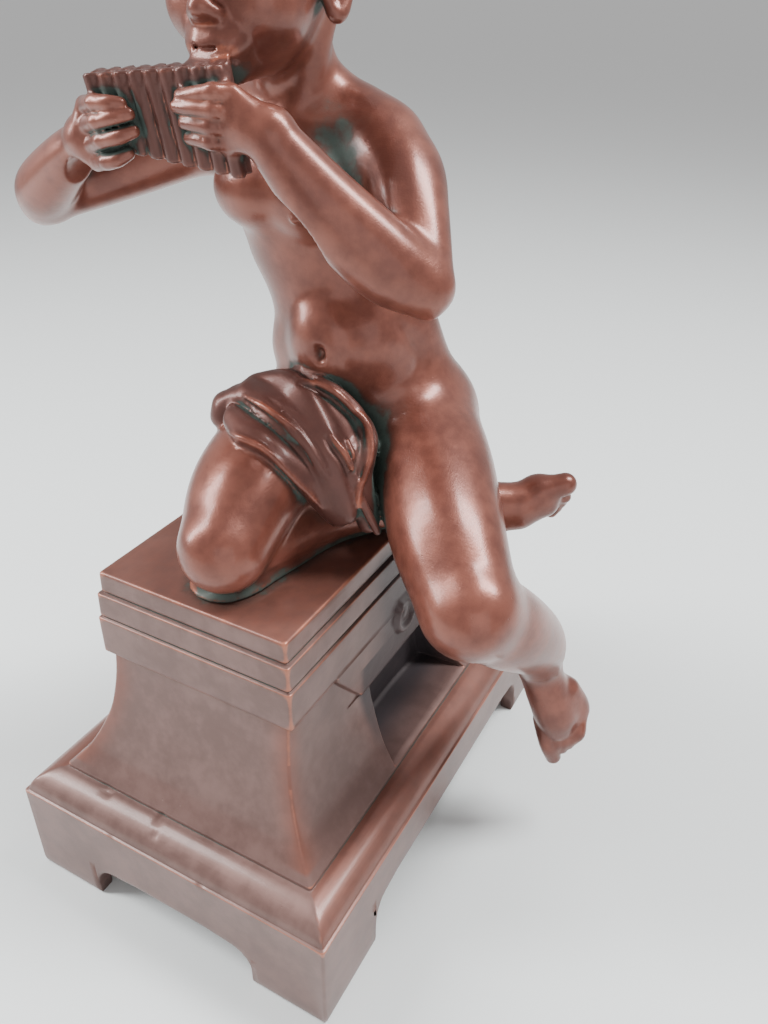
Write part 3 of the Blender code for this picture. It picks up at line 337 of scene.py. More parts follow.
FINGERS_R = [[(-27.2, 17.4, 140.1), (-29.4, 13.3, 140.9), (-29.8, 10.6, 141.1), (-29, 9.1, 141)],
             [(-27.2, 18, 137.5), (-29.6, 13.1, 138.6), (-29.8, 9.9, 139.4), (-28.8, 8.1, 139.8)],
             [(-27, 17.8, 134.8), (-29.4, 12.9, 136.2), (-29.6, 9.6, 137), (-28.6, 7.8, 137.7)],
             [(-26.6, 17.3, 132.7), (-28.8, 13.1, 133.4), (-29, 11, 133.9), (-28.2, 9.6, 134.7)]]
FINGERS_L = [[(-25.2, -6.5, 142.8), (-26.9, -5, 143.1), (-27.3, -2.7, 142.8), (-27, 0.4, 142.4)],
             [(-25.4, -6.5, 140.8), (-27.1, -4.9, 141), (-27.5, -2.5, 141.1), (-27.3, 1, 141.1)],
             [(-25.4, -6, 138.9), (-27, -4.3, 139), (-27.3, -2.3, 139.2), (-27.1, 0.1, 139.2)],
             [(-25, -4.8, 137), (-26.6, -3.8, 137.1), (-26.7, -1.9, 137.3), (-26.3, 0.1, 137.2)]]


def hands(c):
    L = c.limb
    for wrist, fingers in ((WRIST_R, FINGERS_R), (WRIST_L, FINGERS_L)):
        for i, finger in enumerate(fingers):
            knuckle = np.array(finger[0])
            L([wrist, (np.array(wrist) + knuckle) / 2 + (-0.2, 0, 0), knuckle], [2.8, 2.0, 1.35], k=1.3)
    L([(-26.2, 17.0, 136.6), (-27.0, 13.8, 136.8), (-27.0, 11.4, 137.2)], [2.2, 1.5, 1.2], k=0.8)
    L([(-26.0, 17.2, 134.4), (-27.2, 13.6, 134.9), (-27.2, 11.0, 135.8)], [1.9, 1.5, 1.2], k=0.8)
    L([(-24.4, 17.6, 137.5), (-23.2, 15.4, 139.4), (-23.6, 12.6, 140.8)], [1.6, 1.4, 1.2], k=0.8)
    L([(-24.2, -7.6, 139.6), (-24.8, -5.8, 139.8)], [2.6, 2.0], k=1.2)
    L([(-23.0, -8, 140), (-21.4, -4.6, 141.4), (-21.6, -0.6, 142.0)], [1.9, 1.5, 1.3], k=0.8)
    for finger in FINGERS_R + FINGERS_L:
        L(finger, [1.3, 1.12, 1.05, 0.9], k=0.25)
        c.mass(np.array(finger[1]) + (-0.25, 0, 0.1), (1.15, 1.3, 1.1), k=0.4)


# The cloth's surface: each row is a line along the folds, from the bunch on the right hip down
# to the lap, and the rows go from the hem on the right thigh over two folds to the belly.
CLOTH_ROWS = [
    (0.6, [(-19.9, 2.8, 91.3), (-22.6, -1.1, 91), (-22.9, -4, 90.2), (-22.2, -6.3, 89.2),
           (-21.5, -8.7, 87), (-19.1, -11, 82.3), (-17.3, -12.9, 78.2), (-15.7, -14.8, 75.1)]),
    (0.75, [(-20.3, 2.9, 92.2), (-23, -0.9, 91.8), (-23.2, -3.9, 91.2), (-22.6, -6.3, 90.2),
            (-22, -8.9, 88.2), (-20.5, -11.5, 84.2), (-18.7, -13.4, 80.2), (-17.1, -15.5, 77)]),
    (1.15, [(-18.6, 3.3, 93.1), (-20.5, -0.7, 92.7), (-20.8, -3.9, 92), (-20.7, -6.5, 90.6),
            (-20.1, -9.1, 88.4), (-19.2, -11.8, 85.1), (-18.1, -14.2, 81.4), (-17, -16.7, 77.3)]),
    (0.75, [(-14.5, 4.8, 92.8), (-16, 1.6, 92.9), (-17.5, -2.4, 92.3), (-17.8, -5.7, 90.9),
            (-17.6, -8.7, 89.2), (-17.9, -11.7, 86.8), (-17.9, -15, 83.5), (-17.3, -17.6, 77.9)]),
    (1.1, [(-15.6, 3.2, 94.7), (-16.5, -0.2, 94.8), (-17.5, -3.7, 94.1), (-17.8, -6.8, 92.7),
           (-17.8, -9.3, 91.1), (-17.8, -12.1, 88.5), (-17.4, -15.1, 84.8), (-16.8, -18, 78.2)]),
    (1.2, [(-14.1, 3.3, 95.8), (-15.1, -0.4, 95.4), (-16.3, -4.3, 94.7), (-16.5, -7, 93.5),
           (-16.7, -9.4, 91.9), (-16.7, -12.3, 89.5), (-16.6, -15.4, 85.8), (-16.7, -18.3, 78.9)]),
    (1.3, [(-11, 3.7, 95.9), (-11.7, -0.1, 95.9), (-13.6, -4.2, 95.4), (-14.4, -7.1, 94.2),
           (-15.1, -10, 92.3), (-15.6, -12.9, 89.8), (-15.7, -15.8, 86.3), (-16.2, -18.2, 80.1)]),
    (1.3, [(-10.1, 0.3, 97.1), (-10.8, -3.1, 97.8), (-11.9, -6, 97.4), (-12.8, -8.3, 96.1),
           (-13.4, -10.5, 94), (-13.9, -12.6, 91.7), (-14.5, -14.9, 88.7), (-15.1, -17.1, 83.4)]),
    (0.9, [(-7.6, -1.6, 97.2), (-8.8, -4.4, 97.3), (-9.9, -7.1, 96.6), (-10.9, -9.5, 95.1),
           (-11.2, -11.6, 93), (-11.5, -13.7, 90.5), (-12.2, -15.5, 87.5), (-13.5, -17, 84.6)]),
    (0.9, [(-7.9, -3.4, 98.1), (-8.7, -6.4, 97.6), (-9.2, -9.3, 96.4), (-9.1, -11.7, 94.5),
           (-8.5, -13.5, 91.9), (-8.8, -15.3, 89.5), (-10.1, -16.6, 87.1), (-12.4, -17.4, 84.9)]),
    (0.8, [(-8.3, -4.7, 98.6), (-9, -8, 97.9), (-8.7, -10.5, 96.8), (-8.1, -12.7, 95),
           (-7.2, -14.5, 92.7), (-7.1, -16.4, 90.5), (-8.1, -18, 88.3), (-10.7, -18.5, 86)]),
    (0.5, [(-7, -4.3, 98.4), (-7.4, -7.3, 97.6), (-7.1, -10, 96.4), (-6.3, -12, 94.5), (-5, -13.6, 92),
           (-4.4, -15.5, 89.5), (-5.3, -17, 86.8), (-7.7, -17.4, 84.1)]),
]
CLOTH_LINES = [
    (0.55, [(-20.3, 2.6, 92.5), (-23.2, -1.0, 92.2), (-23.4, -4.0, 91.6), (-22.8, -6.4, 90.6),
            (-22.2, -9.0, 88.5), (-20.7, -11.6, 84.4), (-18.9, -13.6, 80.3), (-17.3, -15.7, 77.0)]),
    (0.75, [(-9.2, -8.2, 98.2), (-8.7, -11.2, 96.9), (-8.0, -13.5, 95.0), (-7.6, -15.7, 92.5),
            (-8.9, -17.4, 89.9), (-11.9, -17.2, 87.4), (-14.2, -17.6, 85.5), (-14.9, -18.8, 83.3),
            (-15.3, -20.0, 81.0), (-15.6, -21.6, 78.7), (-15.7, -23.2, 76.3)]),
    (0.65, [(-14.2, -12.4, 92.6), (-14.7, -13.9, 91.5), (-14.8, -15.4, 89.9), (-15.0, -17.0, 88.0),
            (-15.0, -18.0, 86.6)]),
    (0.5, [(-12.6, -15.6, 89.9), (-13.4, -17.1, 88.2), (-13.8, -17.9, 87.0)]),
    (0.4, [(-17.4, -0.8, 95.6), (-18.0, -3.9, 94.9), (-18.1, -6.6, 93.6), (-18.1, -8.6, 92.3)]),
    (0.4, [(-18.0, -0.6, 94.4), (-18.7, -4.2, 93.6), (-19.0, -7.2, 92.1), (-18.9, -9.8, 90.3),
           (-18.7, -12.2, 88.0)]),
]
BUNCH = [((-15.2, 6.6, 92.4), (3.0, 3.0, 2.6)), ((-14.0, 4.6, 94.2), (2.8, 2.6, 2.0)),
         ((-16.3, 6.9, 90.6), (2.4, 2.6, 2.2))]


def cloth(c):
    """A sheet woven from the rows, with its rolled hems and sharper folds laid on as lines."""
    rows = np.array([path for r, path in CLOTH_ROWS])
    sheet = [eased(rows[:, i], [r for r, path in CLOTH_ROWS], 4) for i in range(rows.shape[1])]
    for j in range(len(sheet[0][0])):
        c.limb([p[j] for p, r in sheet], [r[j] for p, r in sheet], k=0.5, per=3)
    c.limb([(-10.5, -16.6, 87), (-12.6, -18.2, 81), (-13.6, -20.2, 76)], [2.2, 2.3, 1.9], k=1.5)
    for r, path in CLOTH_LINES:
        c.limb(path, [r] * len(path), k=0.4)
    for centre, radii in BUNCH:
        c.mass(centre, radii, k=1.0)


class Turned:
    """Passes shapes on to the clay after turning them about a pivot."""

    def __init__(self, c, pivot, rotation):
        self.c, self.pivot, self.rotation = c, np.array(pivot, float), rotation

    def move(self, p):
        return self.pivot + self.rotation @ (np.asarray(p, float) - self.pivot)

    def limb(self, path, radii, **how):
        self.c.limb([self.move(p) for p in path], radii, **how)

    def mass(self, centre, radii, rotation=None, **how):
        own = np.eye(3) if rotation is None else rotation
        self.c.mass(self.move(centre), radii, self.rotation @ own, **how)


HEAD_Y = 0.6
NECK, HEAD_TURN = (-6, HEAD_Y, 150), 4


def head(c):
    """A plain, calm child's face; the features mirror about the middle line."""
    c = Turned(c, NECK, turn(0, 0, HEAD_TURN))
    L, M, y0 = c.limb, c.mass, HEAD_Y
    M((-6.6, y0, 161), (13.4, 11.4, 12.6), k=2)
    M((-12.0, y0, 154.2), (9.0, 9.5, 11.0), k=3.5)
    M((-17.4, y0, 145.6), (3.3, 3.3, 2.7), k=3)
    for s in (-1, 1):
        M((-15.0, y0 + s * 5.6, 152.4), (4.6, 3.9, 4.2), k=3)
        M((-20.9, y0 + s * 4.2, 157.0), (2.0, 3.0, 1.8), k=1.8, cut=True)
        M((-18.7, y0 + s * 4.2, 156.8), (2.2, 2.4, 2.0), k=0.3)
        L([(-18.6, y0 + s * 1.8, 156.6), (-20.35, y0 + s * 3.2, 157.9), (-20.2, y0 + s * 5.0, 158.0),
           (-18.2, y0 + s * 7.0, 156.7)], [0.45, 0.6, 0.6, 0.45], k=0.5)
        L([(-18.8, y0 + s * 1.9, 156.4), (-20.1, y0 + s * 3.4, 155.5), (-19.8, y0 + s * 5.2, 155.5),
           (-18.2, y0 + s * 7.0, 156.5)], [0.4, 0.5, 0.5, 0.4], k=0.6)
        L([(-20.6, y0 + s * 1.4, 159.2), (-20.9, y0 + s * 3.6, 160.5), (-19.5, y0 + s * 6.2, 160.6),
           (-17.2, y0 + s * 8.4, 159.4)], [0.5, 0.6, 0.6, 0.4], k=2.4)
        M((-21.8, y0 + s * 1.65, 151.7), (1.3, 0.85, 0.95), k=0.9)
        M((-22.2, y0 + s * 0.95, 150.65), (0.6, 0.45, 0.4), k=0.3, cut=True)
        L([(-9.0, y0 + s * 10.7, 153.2), (-8.0, y0 + s * 12.0, 151.4), (-6.0, y0 + s * 12.6, 154.2),
           (-5.6, y0 + s * 13.1, 158.0), (-7.6, y0 + s * 12.9, 160.6), (-9.6, y0 + s * 11.6, 158.6),
           (-9.2, y0 + s * 11.0, 156.4)], [0.7, 1.2, 0.85, 0.8, 0.75, 0.75, 0.6], k=0.6)
        M((-7.4, y0 + s * 11.2, 155.4), (2.0, 1.0, 3.6), k=0.8)
        L([(-6.6, y0 + s * 12.9, 160.0), (-5.4, y0 + s * 13.9, 163.0)], [0.9, 0.35], k=0.8)
        L([(-14.6, y0 + s * 4.6, 169.6), (-15.9, y0 + s * 4.9, 172.6)], [1.7, 1.0], k=0.8)
    L([(-20.0, y0, 158.4), (-21.5, y0, 155.2), (-22.6, y0, 152.9)], [0.9, 1.0, 1.2], k=1.4)
    M((-22.9, y0, 152.2), (1.5, 1.55, 1.35), k=0.8)
    M((-20.0, y0, 148.2), (2.4, 4.2, 2.6), k=2.5)
    M((-21.6, y0 + 0.6, 144.8), (1.7, 3.0, 1.6), k=1.2)
    L([(-19.9, y0 - 3.4, 147.7), (-21.6, y0 - 1.7, 148.5), (-22.1, y0, 148.2), (-21.6, y0 + 1.7, 148.5),
       (-19.9, y0 + 3.4, 147.7)], [0.35, 0.75, 0.75, 0.75, 0.35], k=0.8)
    L([(-19.9, y0 - 3.1, 147.3), (-21.4, y0 - 1.6, 146.7), (-21.8, y0, 146.5), (-21.4, y0 + 1.6, 146.7),
       (-19.9, y0 + 3.1, 147.3)], [0.35, 0.85, 0.95, 0.85, 0.35], k=0.8)
    L([(-20.6, y0 - 3.0, 147.5), (-22.6, y0 - 1.2, 147.6), (-22.9, y0, 147.4), (-22.6, y0 + 1.2, 147.6),
       (-20.6, y0 + 3.0, 147.5)], [0.15, 0.2, 0.2, 0.2, 0.15], k=0.5, cut=True)


HAIR_CENTRE, HAIR_RADII, HAIR_COUNT = np.array([-6.4, HEAD_Y, 161.2]), np.array([13.5, 11.9, 12.9]), 120


def hair(c):
    """Short curls: comma shapes spread evenly over the scalp and combed down and forward."""
    c = Turned(c, NECK, turn(0, 0, HEAD_TURN))
    c.mass((-5.2, HEAD_Y, 162.6), (13.0, 12.1, 12.6), k=1.2)
    for i in range(HAIR_COUNT):
        z = 1 - 1.42 * (i + 0.5) / HAIR_COUNT
        angle = i * np.pi * (3 - 5 ** 0.5)
        d = np.array([np.cos(angle) * np.sqrt(1 - z * z), np.sin(angle) * np.sqrt(1 - z * z), z])
        face = d[0] < -0.35 and z < 0.34 + 0.25 * abs(d[1])
        cheek = d[0] < 0.15 and z < 0.05
        ear = abs(d[1]) > 0.62 and d[0] < 0.25 and z < 0.12
        if face or cheek or ear:
            continue
        normal = unit(d / HAIR_RADII)
        comb = np.array([-0.35, 0, -1.0])
        comb = unit(comb - normal * (comb @ normal))
        side = np.cross(normal, comb) * (1 if i % 2 else -1)
        p = HAIR_CENTRE + HAIR_RADII * d
        c.limb([p - comb * 1.9 + normal * 0.15, p + side * 1.3 + normal * 0.75,
                p + comb * 1.8 + side * 0.6 + normal * 0.55, p + comb * 2.2 - side * 0.9 + normal * 0.1],
               [0.85, 1.15, 1.0, 0.6], k=0.45)


# The plinth: half sizes at the table, the foot openings (where the foot ends, how high the opening
# is, how far its cove reaches) and the outer profile from the feet up: inset from the base's edge,
# height, further inset on the long sides, reach of the rounding.
HALF_LENGTH, HALF_WIDTH = 54.1, 35.0
CORNER, ARCH_LONG, ARCH_SHORT, BAND_Z = 0.6, (35.9, 11.6, 4.0), (19.0, 9.0, 5.0), 17.3
PROFILE = [
    (0, BAND_Z, 0, 0), (0, 17.85, 0, 0.12), (0.5, 18.0, 0, 0.12), (0.9, 19.2, 0, 0.6),
    (1.8, 20.4, 0, 0.8), (3.2, 21.4, 0, 1.0),
    (5.2, 22.1, 0, 0.5), (6.4, 22.15, 0, 0.15), (6.45, 22.75, 0, 0.15), (6.95, 23.5, 0.2, 0.5),
    (8.1, 25.1, 0.5, 1.2), (9.3, 26.9, 0.8, 1.5), (11.0, 30.7, 1.2, 3), (13.0, 36.2, 1.4, 3),
    (14.6, 43.5, 0.8, 3), (15.3, 49.25, 0.3, 0.2), (14.2, 49.45, 0, 0.3), (14.2, 57.2, 0, 0.25),
    (14.75, 57.35, 0, 0.1), (14.75, 57.7, 0, 0.1), (14.5, 57.85, 0, 0.25), (14.6, 62.4, 0, 0.25),
    (15.45, 62.55, 0, 0.1), (15.45, 62.9, 0, 0.1), (15.2, 63.05, 0, 0.25), (15.3, PLINTH_HEIGHT, 0, 0.6),
    (16.6, PLINTH_HEIGHT, 0, 0)]
BAY_BACK, BAY_FLOOR, APRON_FACE, APRON_Z, SHOULDER_Z = 16.1, 22.9, 20.95, 38.7, 48.5
ROUNDEL_Z, CEILING_Z, WALL = 47.2, 61.9, 3.2
# the hollow from the feet up: half length, half width, height
HOLLOW = [(47, 25, 17.6), (43.5, 15, 18.4), (42.1, 12.9, 19.5), (40, 12.9, 24), (38, 12.9, 29),
          (35.1, 12.9, 36), (34.9, 12.9, 45), (34.7, 12.9, 54), (34.6, 12.9, 61.6),
          (34, 12.3, CEILING_Z), (24, 8, CEILING_Z), (12, 4, CEILING_Z)]
# heights up the piers' edges, and how far each edge stands in from the base's two sides
PIER_Z, PIER_IN_LONG, PIER_IN_WIDE = [22, 30, 40, 49], [6.3, 10.7, 13.9, 15.3], [6.3, 11.8, 15, 15.6]
# small dents: place along the side, height, reach and depth
NICKS = [(-17.6, 22.2, 0.5, 0.5), (-16.2, 22.2, 0.4, 0.4), (-4.2, 22.2, 0.6, 0.5), (-3.2, 21.0, 0.5, 0.25),
         (9.0, 17.8, 0.5, 0.3), (-12.0, 17.8, 0.4, 0.2)]


def smooth(value, start, end):
    t = np.clip((value - start) / (end - start), 0, 1)
    return t * t * (3 - 2 * t)


def round_profile():
    """Fillets each corner of the profile with a short curve and fills long stretches evenly."""
    q = np.array(PROFILE, float)
    out = [q[0, :3]]
    for a, b, c in zip(q[:-2], q[1:-1], q[2:]):
        back, ahead = a[:3] - b[:3], c[:3] - b[:3]
        p0 = b[:3] + unit(back) * min(b[3], 0.45 * np.linalg.norm(back))
        p2 = b[:3] + unit(ahead) * min(b[3], 0.45 * np.linalg.norm(ahead))
        t = np.linspace(0, 1, 4)[:, None]
        out += list((1 - t) ** 2 * p0 + 2 * t * (1 - t) * b[:3] + t ** 2 * p2)
    out.append(q[-1, :3])
    fine = [out[0]]
    for p in out[1:]:
        start = fine[-1]
        count = int(np.ceil(np.linalg.norm(p - start) / (0.45 if 42 < p[1] < 52 else 1.0)))
        fine += [start + (p - start) * (k + 1) / count for k in range(count)]
    return np.array(fine)


def plinth_rings():
    """One row per ring, from the middle of the top over the outside, the feet and the hollow to the
    middle of its ceiling: half length, half width, height, corner, whether places along the long
    and short sides keep still or shrink with the ring, share of the foot's lift, bay, apron."""
    outer = round_profile()[::-1]
    rows = [(37.5 * k, 18.4 * k, PLINTH_HEIGHT, CORNER * k, 0, 0, 0, 0, 0)
            for k in np.linspace(0, 1, 24)[1:-1]]
    special = [(z, t, 1 - t)
               for z, t in zip(np.linspace(0.03, -0.03, 5) + APRON_Z, (0, 0.25, 0.5, 0.75, 1))]
    special += [(BAY_FLOOR + 0.03 * k, k / 8, 0) for k in range(8, -1, -1)]
    for z, bay, apron in special:
        o, e = (np.interp(z, outer[::-1, 1], outer[::-1, c]) for c in (0, 2))
        rows.append((HALF_LENGTH - o, HALF_WIDTH - o - e, z, CORNER, 1, 0, 0, 1 if z > 30 else bay, apron))
    for o, z, e in outer:
        if abs(z - APRON_Z) > 0.1 and abs(z - BAY_FLOOR - 0.12) > 0.2:
            rows.append((HALF_LENGTH - o, HALF_WIDTH - o - e, z, CORNER, 1, float(z < 18.5), 0,
                         float(BAY_FLOOR < z < 45), float(APRON_Z < z < 49.6)))
    rows.sort(key=lambda r: (-r[2], r[0]))
    shares = (0.08, 0.16, 0.25, 0.35, 0.45, 0.55, 0.65, 0.75, 0.84, 0.92, 0.97, 1)
    feet = list(zip(shares, [0] * 10 + [0.12, 0.4])) + [(1, 1.2), (1, 2.1), (1, 2.9), (0.97, WALL)]
    for share, o in feet + [(0.7, WALL), (0.4, WALL), (0.1, WALL)]:
        rows.append((HALF_LENGTH - o, HALF_WIDTH - o, BAND_Z, CORNER, 1, 1, share, 0, 0))
    rows += [(hx, hy, z, CORNER, 0, 0, 0, 0, 0) for hx, hy, z in HOLLOW]
    return np.array(rows, float).T


def plinth_side(turned, rings):
    """The points of one side, built facing -y and then turned by quarters. Each ring gives the
    side's place and height; the feet lift its columns to the opening's outline, and the bays,
    the apron and the roundel press them in or out."""
    hx, hy, z, corner, still_long, still_short, foot, bay, apron = (v[:, None] for v in rings)
    across = turned % 2 == 1
    a, b = (hy, hx) if across else (hx, hy)
    still = still_short if across else still_long
    inner, height, cove = ARCH_SHORT if across else ARCH_LONG
    base = 34.4 if across else 53.5
    if across:
        u = np.arange(0, inner, 0.7)
    else:
        spans = ((0, 5.2, 0.35), (5.2, 11.9, 0.85), (12.1, 13.4, 0.2), (14, 20.2, 0.8),
                 (20.5, 21.6, 0.2), (22.2, inner, 1.2))
        u = np.concatenate([np.arange(*span) for span in spans])
    q = np.linspace(0, np.pi / 2, 6)
    edge_u = np.concatenate([[inner], inner - cove * (1 - np.cos(q)), [inner - 2.2 * cove, 0]])[::-1]
    edge_z = np.concatenate([[height * 0.34], height * (0.34 + 0.6 * np.sin(q)), [height, height]])[::-1]
    u = np.unique(np.concatenate([u, edge_u]))
    far = np.linspace(0, 1, 11)[1:]
    lift = FEET_Z + np.interp(u, edge_u, edge_z)
    keep = np.concatenate([u, [inner], inner * (1 - far)])
    slide = np.concatenate([u * 0, [0], far])
    lift = np.concatenate([lift, [FEET_Z], far * 0 + FEET_Z])
    keep, slide, lift = (np.concatenate([s * v[:0:-1], v]) for s, v in ((-1, keep), (-1, slide), (1, lift)))
    even = (keep + slide * base) / base
    x = still * (keep + slide * (a - corner)) + (1 - still) * even * (a - corner)
    y = -b + 0 * x
    z = z - foot * (z - lift)
    if not across:
        # the columns of points lean with the bay's and the apron's slanting ends
        far, sign = np.abs(x), np.sign(x)
        bay_edge = 12.6 + 3.9 * np.clip((APRON_Z - z) / 15.8, 0, 1) ** 1.6 * (hx > 37)
        apron_edge = 17.1 + 8.5 * np.clip((z - APRON_Z) / (SHOULDER_Z - APRON_Z), 0, 1)
        apron_edge = apron_edge + 3.9 * (z < APRON_Z)
        leaning = np.select([far < 12.6, far < 21, far < 27], [
            far / 12.6 * bay_edge, bay_edge + (far - 12.6) / 8.4 * (apron_edge - bay_edge),
            apron_edge + (far - 21) / 6 * (27 - apron_edge)], far)
        x = still * sign * leaning + (1 - still) * x
        y = y + bay * smooth(far, 13.0, 12.2) * (-BAY_BACK - 0.9 * (x / bay_edge) ** 2 - y)
        y = y + apron * smooth(far, 21.2, 20.8) * (-APRON_FACE - y)
        r = np.hypot(x, z - ROUNDEL_Z) + 9 * (z > 55) + 9 * (z < APRON_Z)
        y = y - 0.95 * smooth(r, 4.35, 3.85) + 0.75 * smooth(r, 3.1, 2.5) - 0.3 * smooth(r, 1.5, 0.9)
    if turned == 3:
        for u0, z0, radius, depth in NICKS:
            dent = depth * np.exp(-((x - u0) ** 2 + (z - z0) ** 2 * 2) / radius ** 2)
            y, z = y + dent * 0.7, z - dent * 0.7
    t = np.radians([22.5, 45, 67.5])
    ones = np.ones((1, 3))
    x = np.hstack([x, (a - corner) * ones + corner * np.sin(t)])
    y = np.hstack([y, -(b - corner) * ones - corner * np.cos(t)])
    z = np.hstack([z, rings[2][:, None] * (1 - foot) + FEET_Z * foot * ones])
    for _ in range(turned):
        x, y = -y, x
    return np.stack([x, y, z], 2)


def bend(grid, normal):
    """How sharply the surface bends at each point: above zero on ridges, below in creases."""
    total = np.zeros(grid.shape[:2])
    for axis in (0, 1):
        ahead, back = np.roll(grid, -1, axis) - grid, grid - np.roll(grid, 1, axis)
        la, lb = (np.maximum(np.linalg.norm(v, axis=2), 1e-3) for v in (ahead, back))
        total -= ((ahead / la[..., None] - back / lb[..., None]) * normal).sum(2) / (la + lb + 0.5)
    total = np.clip(total, -1.5, 1.5)
    for _ in range(3):
        for axis in (0, 1):
            total = (np.roll(total, 1, axis) + 2 * total + np.roll(total, -1, axis)) / 4
    return total


def cast_plinth(clay):
    """Joins the four sides into closed rings, fills the middles, and marks ridges and creases."""
    rings = plinth_rings()
    grid = np.concatenate([plinth_side(k, rings) for k in range(4)], 1)
    rows, n = grid.shape[:2]
    across = np.roll(grid, -1, 1) - np.roll(grid, 1, 1)
    up = np.gradient(grid, axis=0)
    normal = np.cross(across, up) * -1
    normal /= np.maximum(np.linalg.norm(normal, axis=2, keepdims=True), 1e-9)
    bent = bend(grid, normal) * (rings[6] == 0)[:, None]
    bent = bent * ((abs(grid[..., 2] - APRON_Z) > 2) | (abs(grid[..., 0]) < 18))
    index = np.arange(rows * n).reshape(rows, n)
    after = np.roll(index, -1, 1)
    quads = np.stack([index[:-1], index[1:], after[1:], after[:-1]], 2).reshape(-1, 4)
    verts = np.vstack([grid.reshape(-1, 3), [(0, 0, PLINTH_HEIGHT), (0, 0, CEILING_Z)]])
    top, bottom = rows * n, rows * n + 1
    fans = [(top, a, b) for a, b in zip(index[0].tolist(), after[0].tolist())]
    fans += [(bottom, b, a) for a, b in zip(index[-1].tolist(), after[-1].tolist())]
    values = np.append(bent.ravel(), [0, 0])
    near = np.clip(1 - clay.sample(verts) / REACH, 0, 1) * (verts[:, 2] > 60)
    # painted shade: the sunk bays, where shade falls, and the frieze above them are painted near black; the
    # top, the piers' edges and the long sides' base moulding are rubbed warmer
    x, y, z = abs(verts[:, 0]), abs(verts[:, 1]), verts[:, 2]
    bay_shade = np.clip((29 - y) / 9, 0, 1) * np.clip((18 - x) / 2, 0, 1) * (y > 14) * (z > 22) * (z < 45)
    frieze = (y > 14) * (z > 45) * np.clip((66.5 - z) / 3, 0, 1)
    bay_shade = bay_shade + 0.8 * np.clip((16 - x) / 9, 0, 1) * frieze
    edge = np.hypot(x - HALF_LENGTH + np.interp(z, PIER_Z, PIER_IN_LONG),
                    y - HALF_WIDTH + np.interp(z, PIER_Z, PIER_IN_WIDE))
    warm = 0.55 * (z > 66.5) + 0.6 * np.exp(-(edge / 3.2) ** 2) * (z > 24) * (z < 49)
    warm = warm + 0.5 * (y > x - 19.1) * (z > 17.5) * (z < 22.2)
    return mesh_piece("moulded_plinth", verts, quads.tolist() + fans, {
        "hollow": np.clip(-values * 1.6, 0, 1), "painted_shade": bay_shade, "warm": warm,
        "crest": np.clip(values * 2.3, 0, 1), "near": near})


def mesh_piece(name, verts, faces, numbers=None):
    """A closed mesh object from points in millimetres, with named values kept on its points."""
    mesh = bpy.data.meshes.new(name)
    mesh.from_pydata((verts * MM + CENTRE).tolist(), [], faces)
    for key, values in (numbers or {}).items():
        layer = mesh.attributes.new(key, "FLOAT", "POINT")
        layer.data.foreach_set("value", np.asarray(values, np.float32))
    bm = bmesh.new()
    bm.from_mesh(mesh)
    bmesh.ops.remove_doubles(bm, verts=bm.verts, dist=1e-7)
    bmesh.ops.dissolve_degenerate(bm, edges=bm.edges, dist=1e-7)
    bmesh.ops.recalc_face_normals(bm, faces=bm.faces)
    bm.to_mesh(mesh)
    bm.free()
    mesh.shade_smooth()
    ob = bpy.data.objects.new(name, mesh)
    bpy.context.scene.collection.objects.link(ob)
    return ob


def thinned(verts, faces, triangles):
    """The same surface with its flatter parts told in fewer points."""
    rough = mesh_piece("rough", verts, faces.tolist())
    fewer = rough.modifiers.new("fewer", "DECIMATE")
    fewer.ratio = triangles / (2 * len(faces))
    bpy.context.view_layer.update()
    mesh = rough.evaluated_get(bpy.context.evaluated_depsgraph_get()).to_mesh()
    co = np.empty(len(mesh.vertices) * 3)
    mesh.vertices.foreach_get("co", co)
    corners = [list(p.vertices) for p in mesh.polygons]
    bpy.data.objects.remove(rough, do_unlink=True)
    return (co.reshape(-1, 3) - CENTRE) / MM, corners


# Folds chased into the cloth, in millimetres: ridges laid on its surface and furrows pared from it.
RIDGES = [
    (0.5, [(-16.8, 1.9, 95.8), (-17.9, -1.7, 95.7), (-18.4, -4.6, 95.1), (-18.4, -7.0, 94.1),
           (-18.3, -9.3, 92.8)]),
    (0.5, [(-23.3, 0.3, 92.1), (-24.0, -2.3, 92.2), (-23.8, -4.4, 91.8), (-23.5, -6.1, 91.2),
           (-23.1, -7.9, 89.8), (-22.7, -9.5, 88.1), (-21.7, -11.4, 85.5), (-20.4, -13.2, 82.7),
           (-19.3, -14.6, 80.0)]),
    (0.5, [(-15.3, -14.3, 91.7), (-15.3, -15.4, 90.5), (-15.2, -16.7, 89.3), (-15.2, -17.6, 88.2)]),
    (0.6, [(-11.4, -6.7, 98.6), (-10.1, -8.7, 97.7), (-9.7, -11.1, 97.0), (-9.2, -13.0, 95.6),
           (-8.6, -14.5, 93.8), (-8.5, -16.1, 92.8), (-8.7, -17.4, 91.4), (-9.3, -18.2, 89.7),
           (-10.5, -19.0, 88.1), (-12.0, -19.4, 86.4), (-13.6, -19.4, 84.5), (-15.5, -19.6, 82.8),
           (-16.5, -19.9, 80.3)]),
]
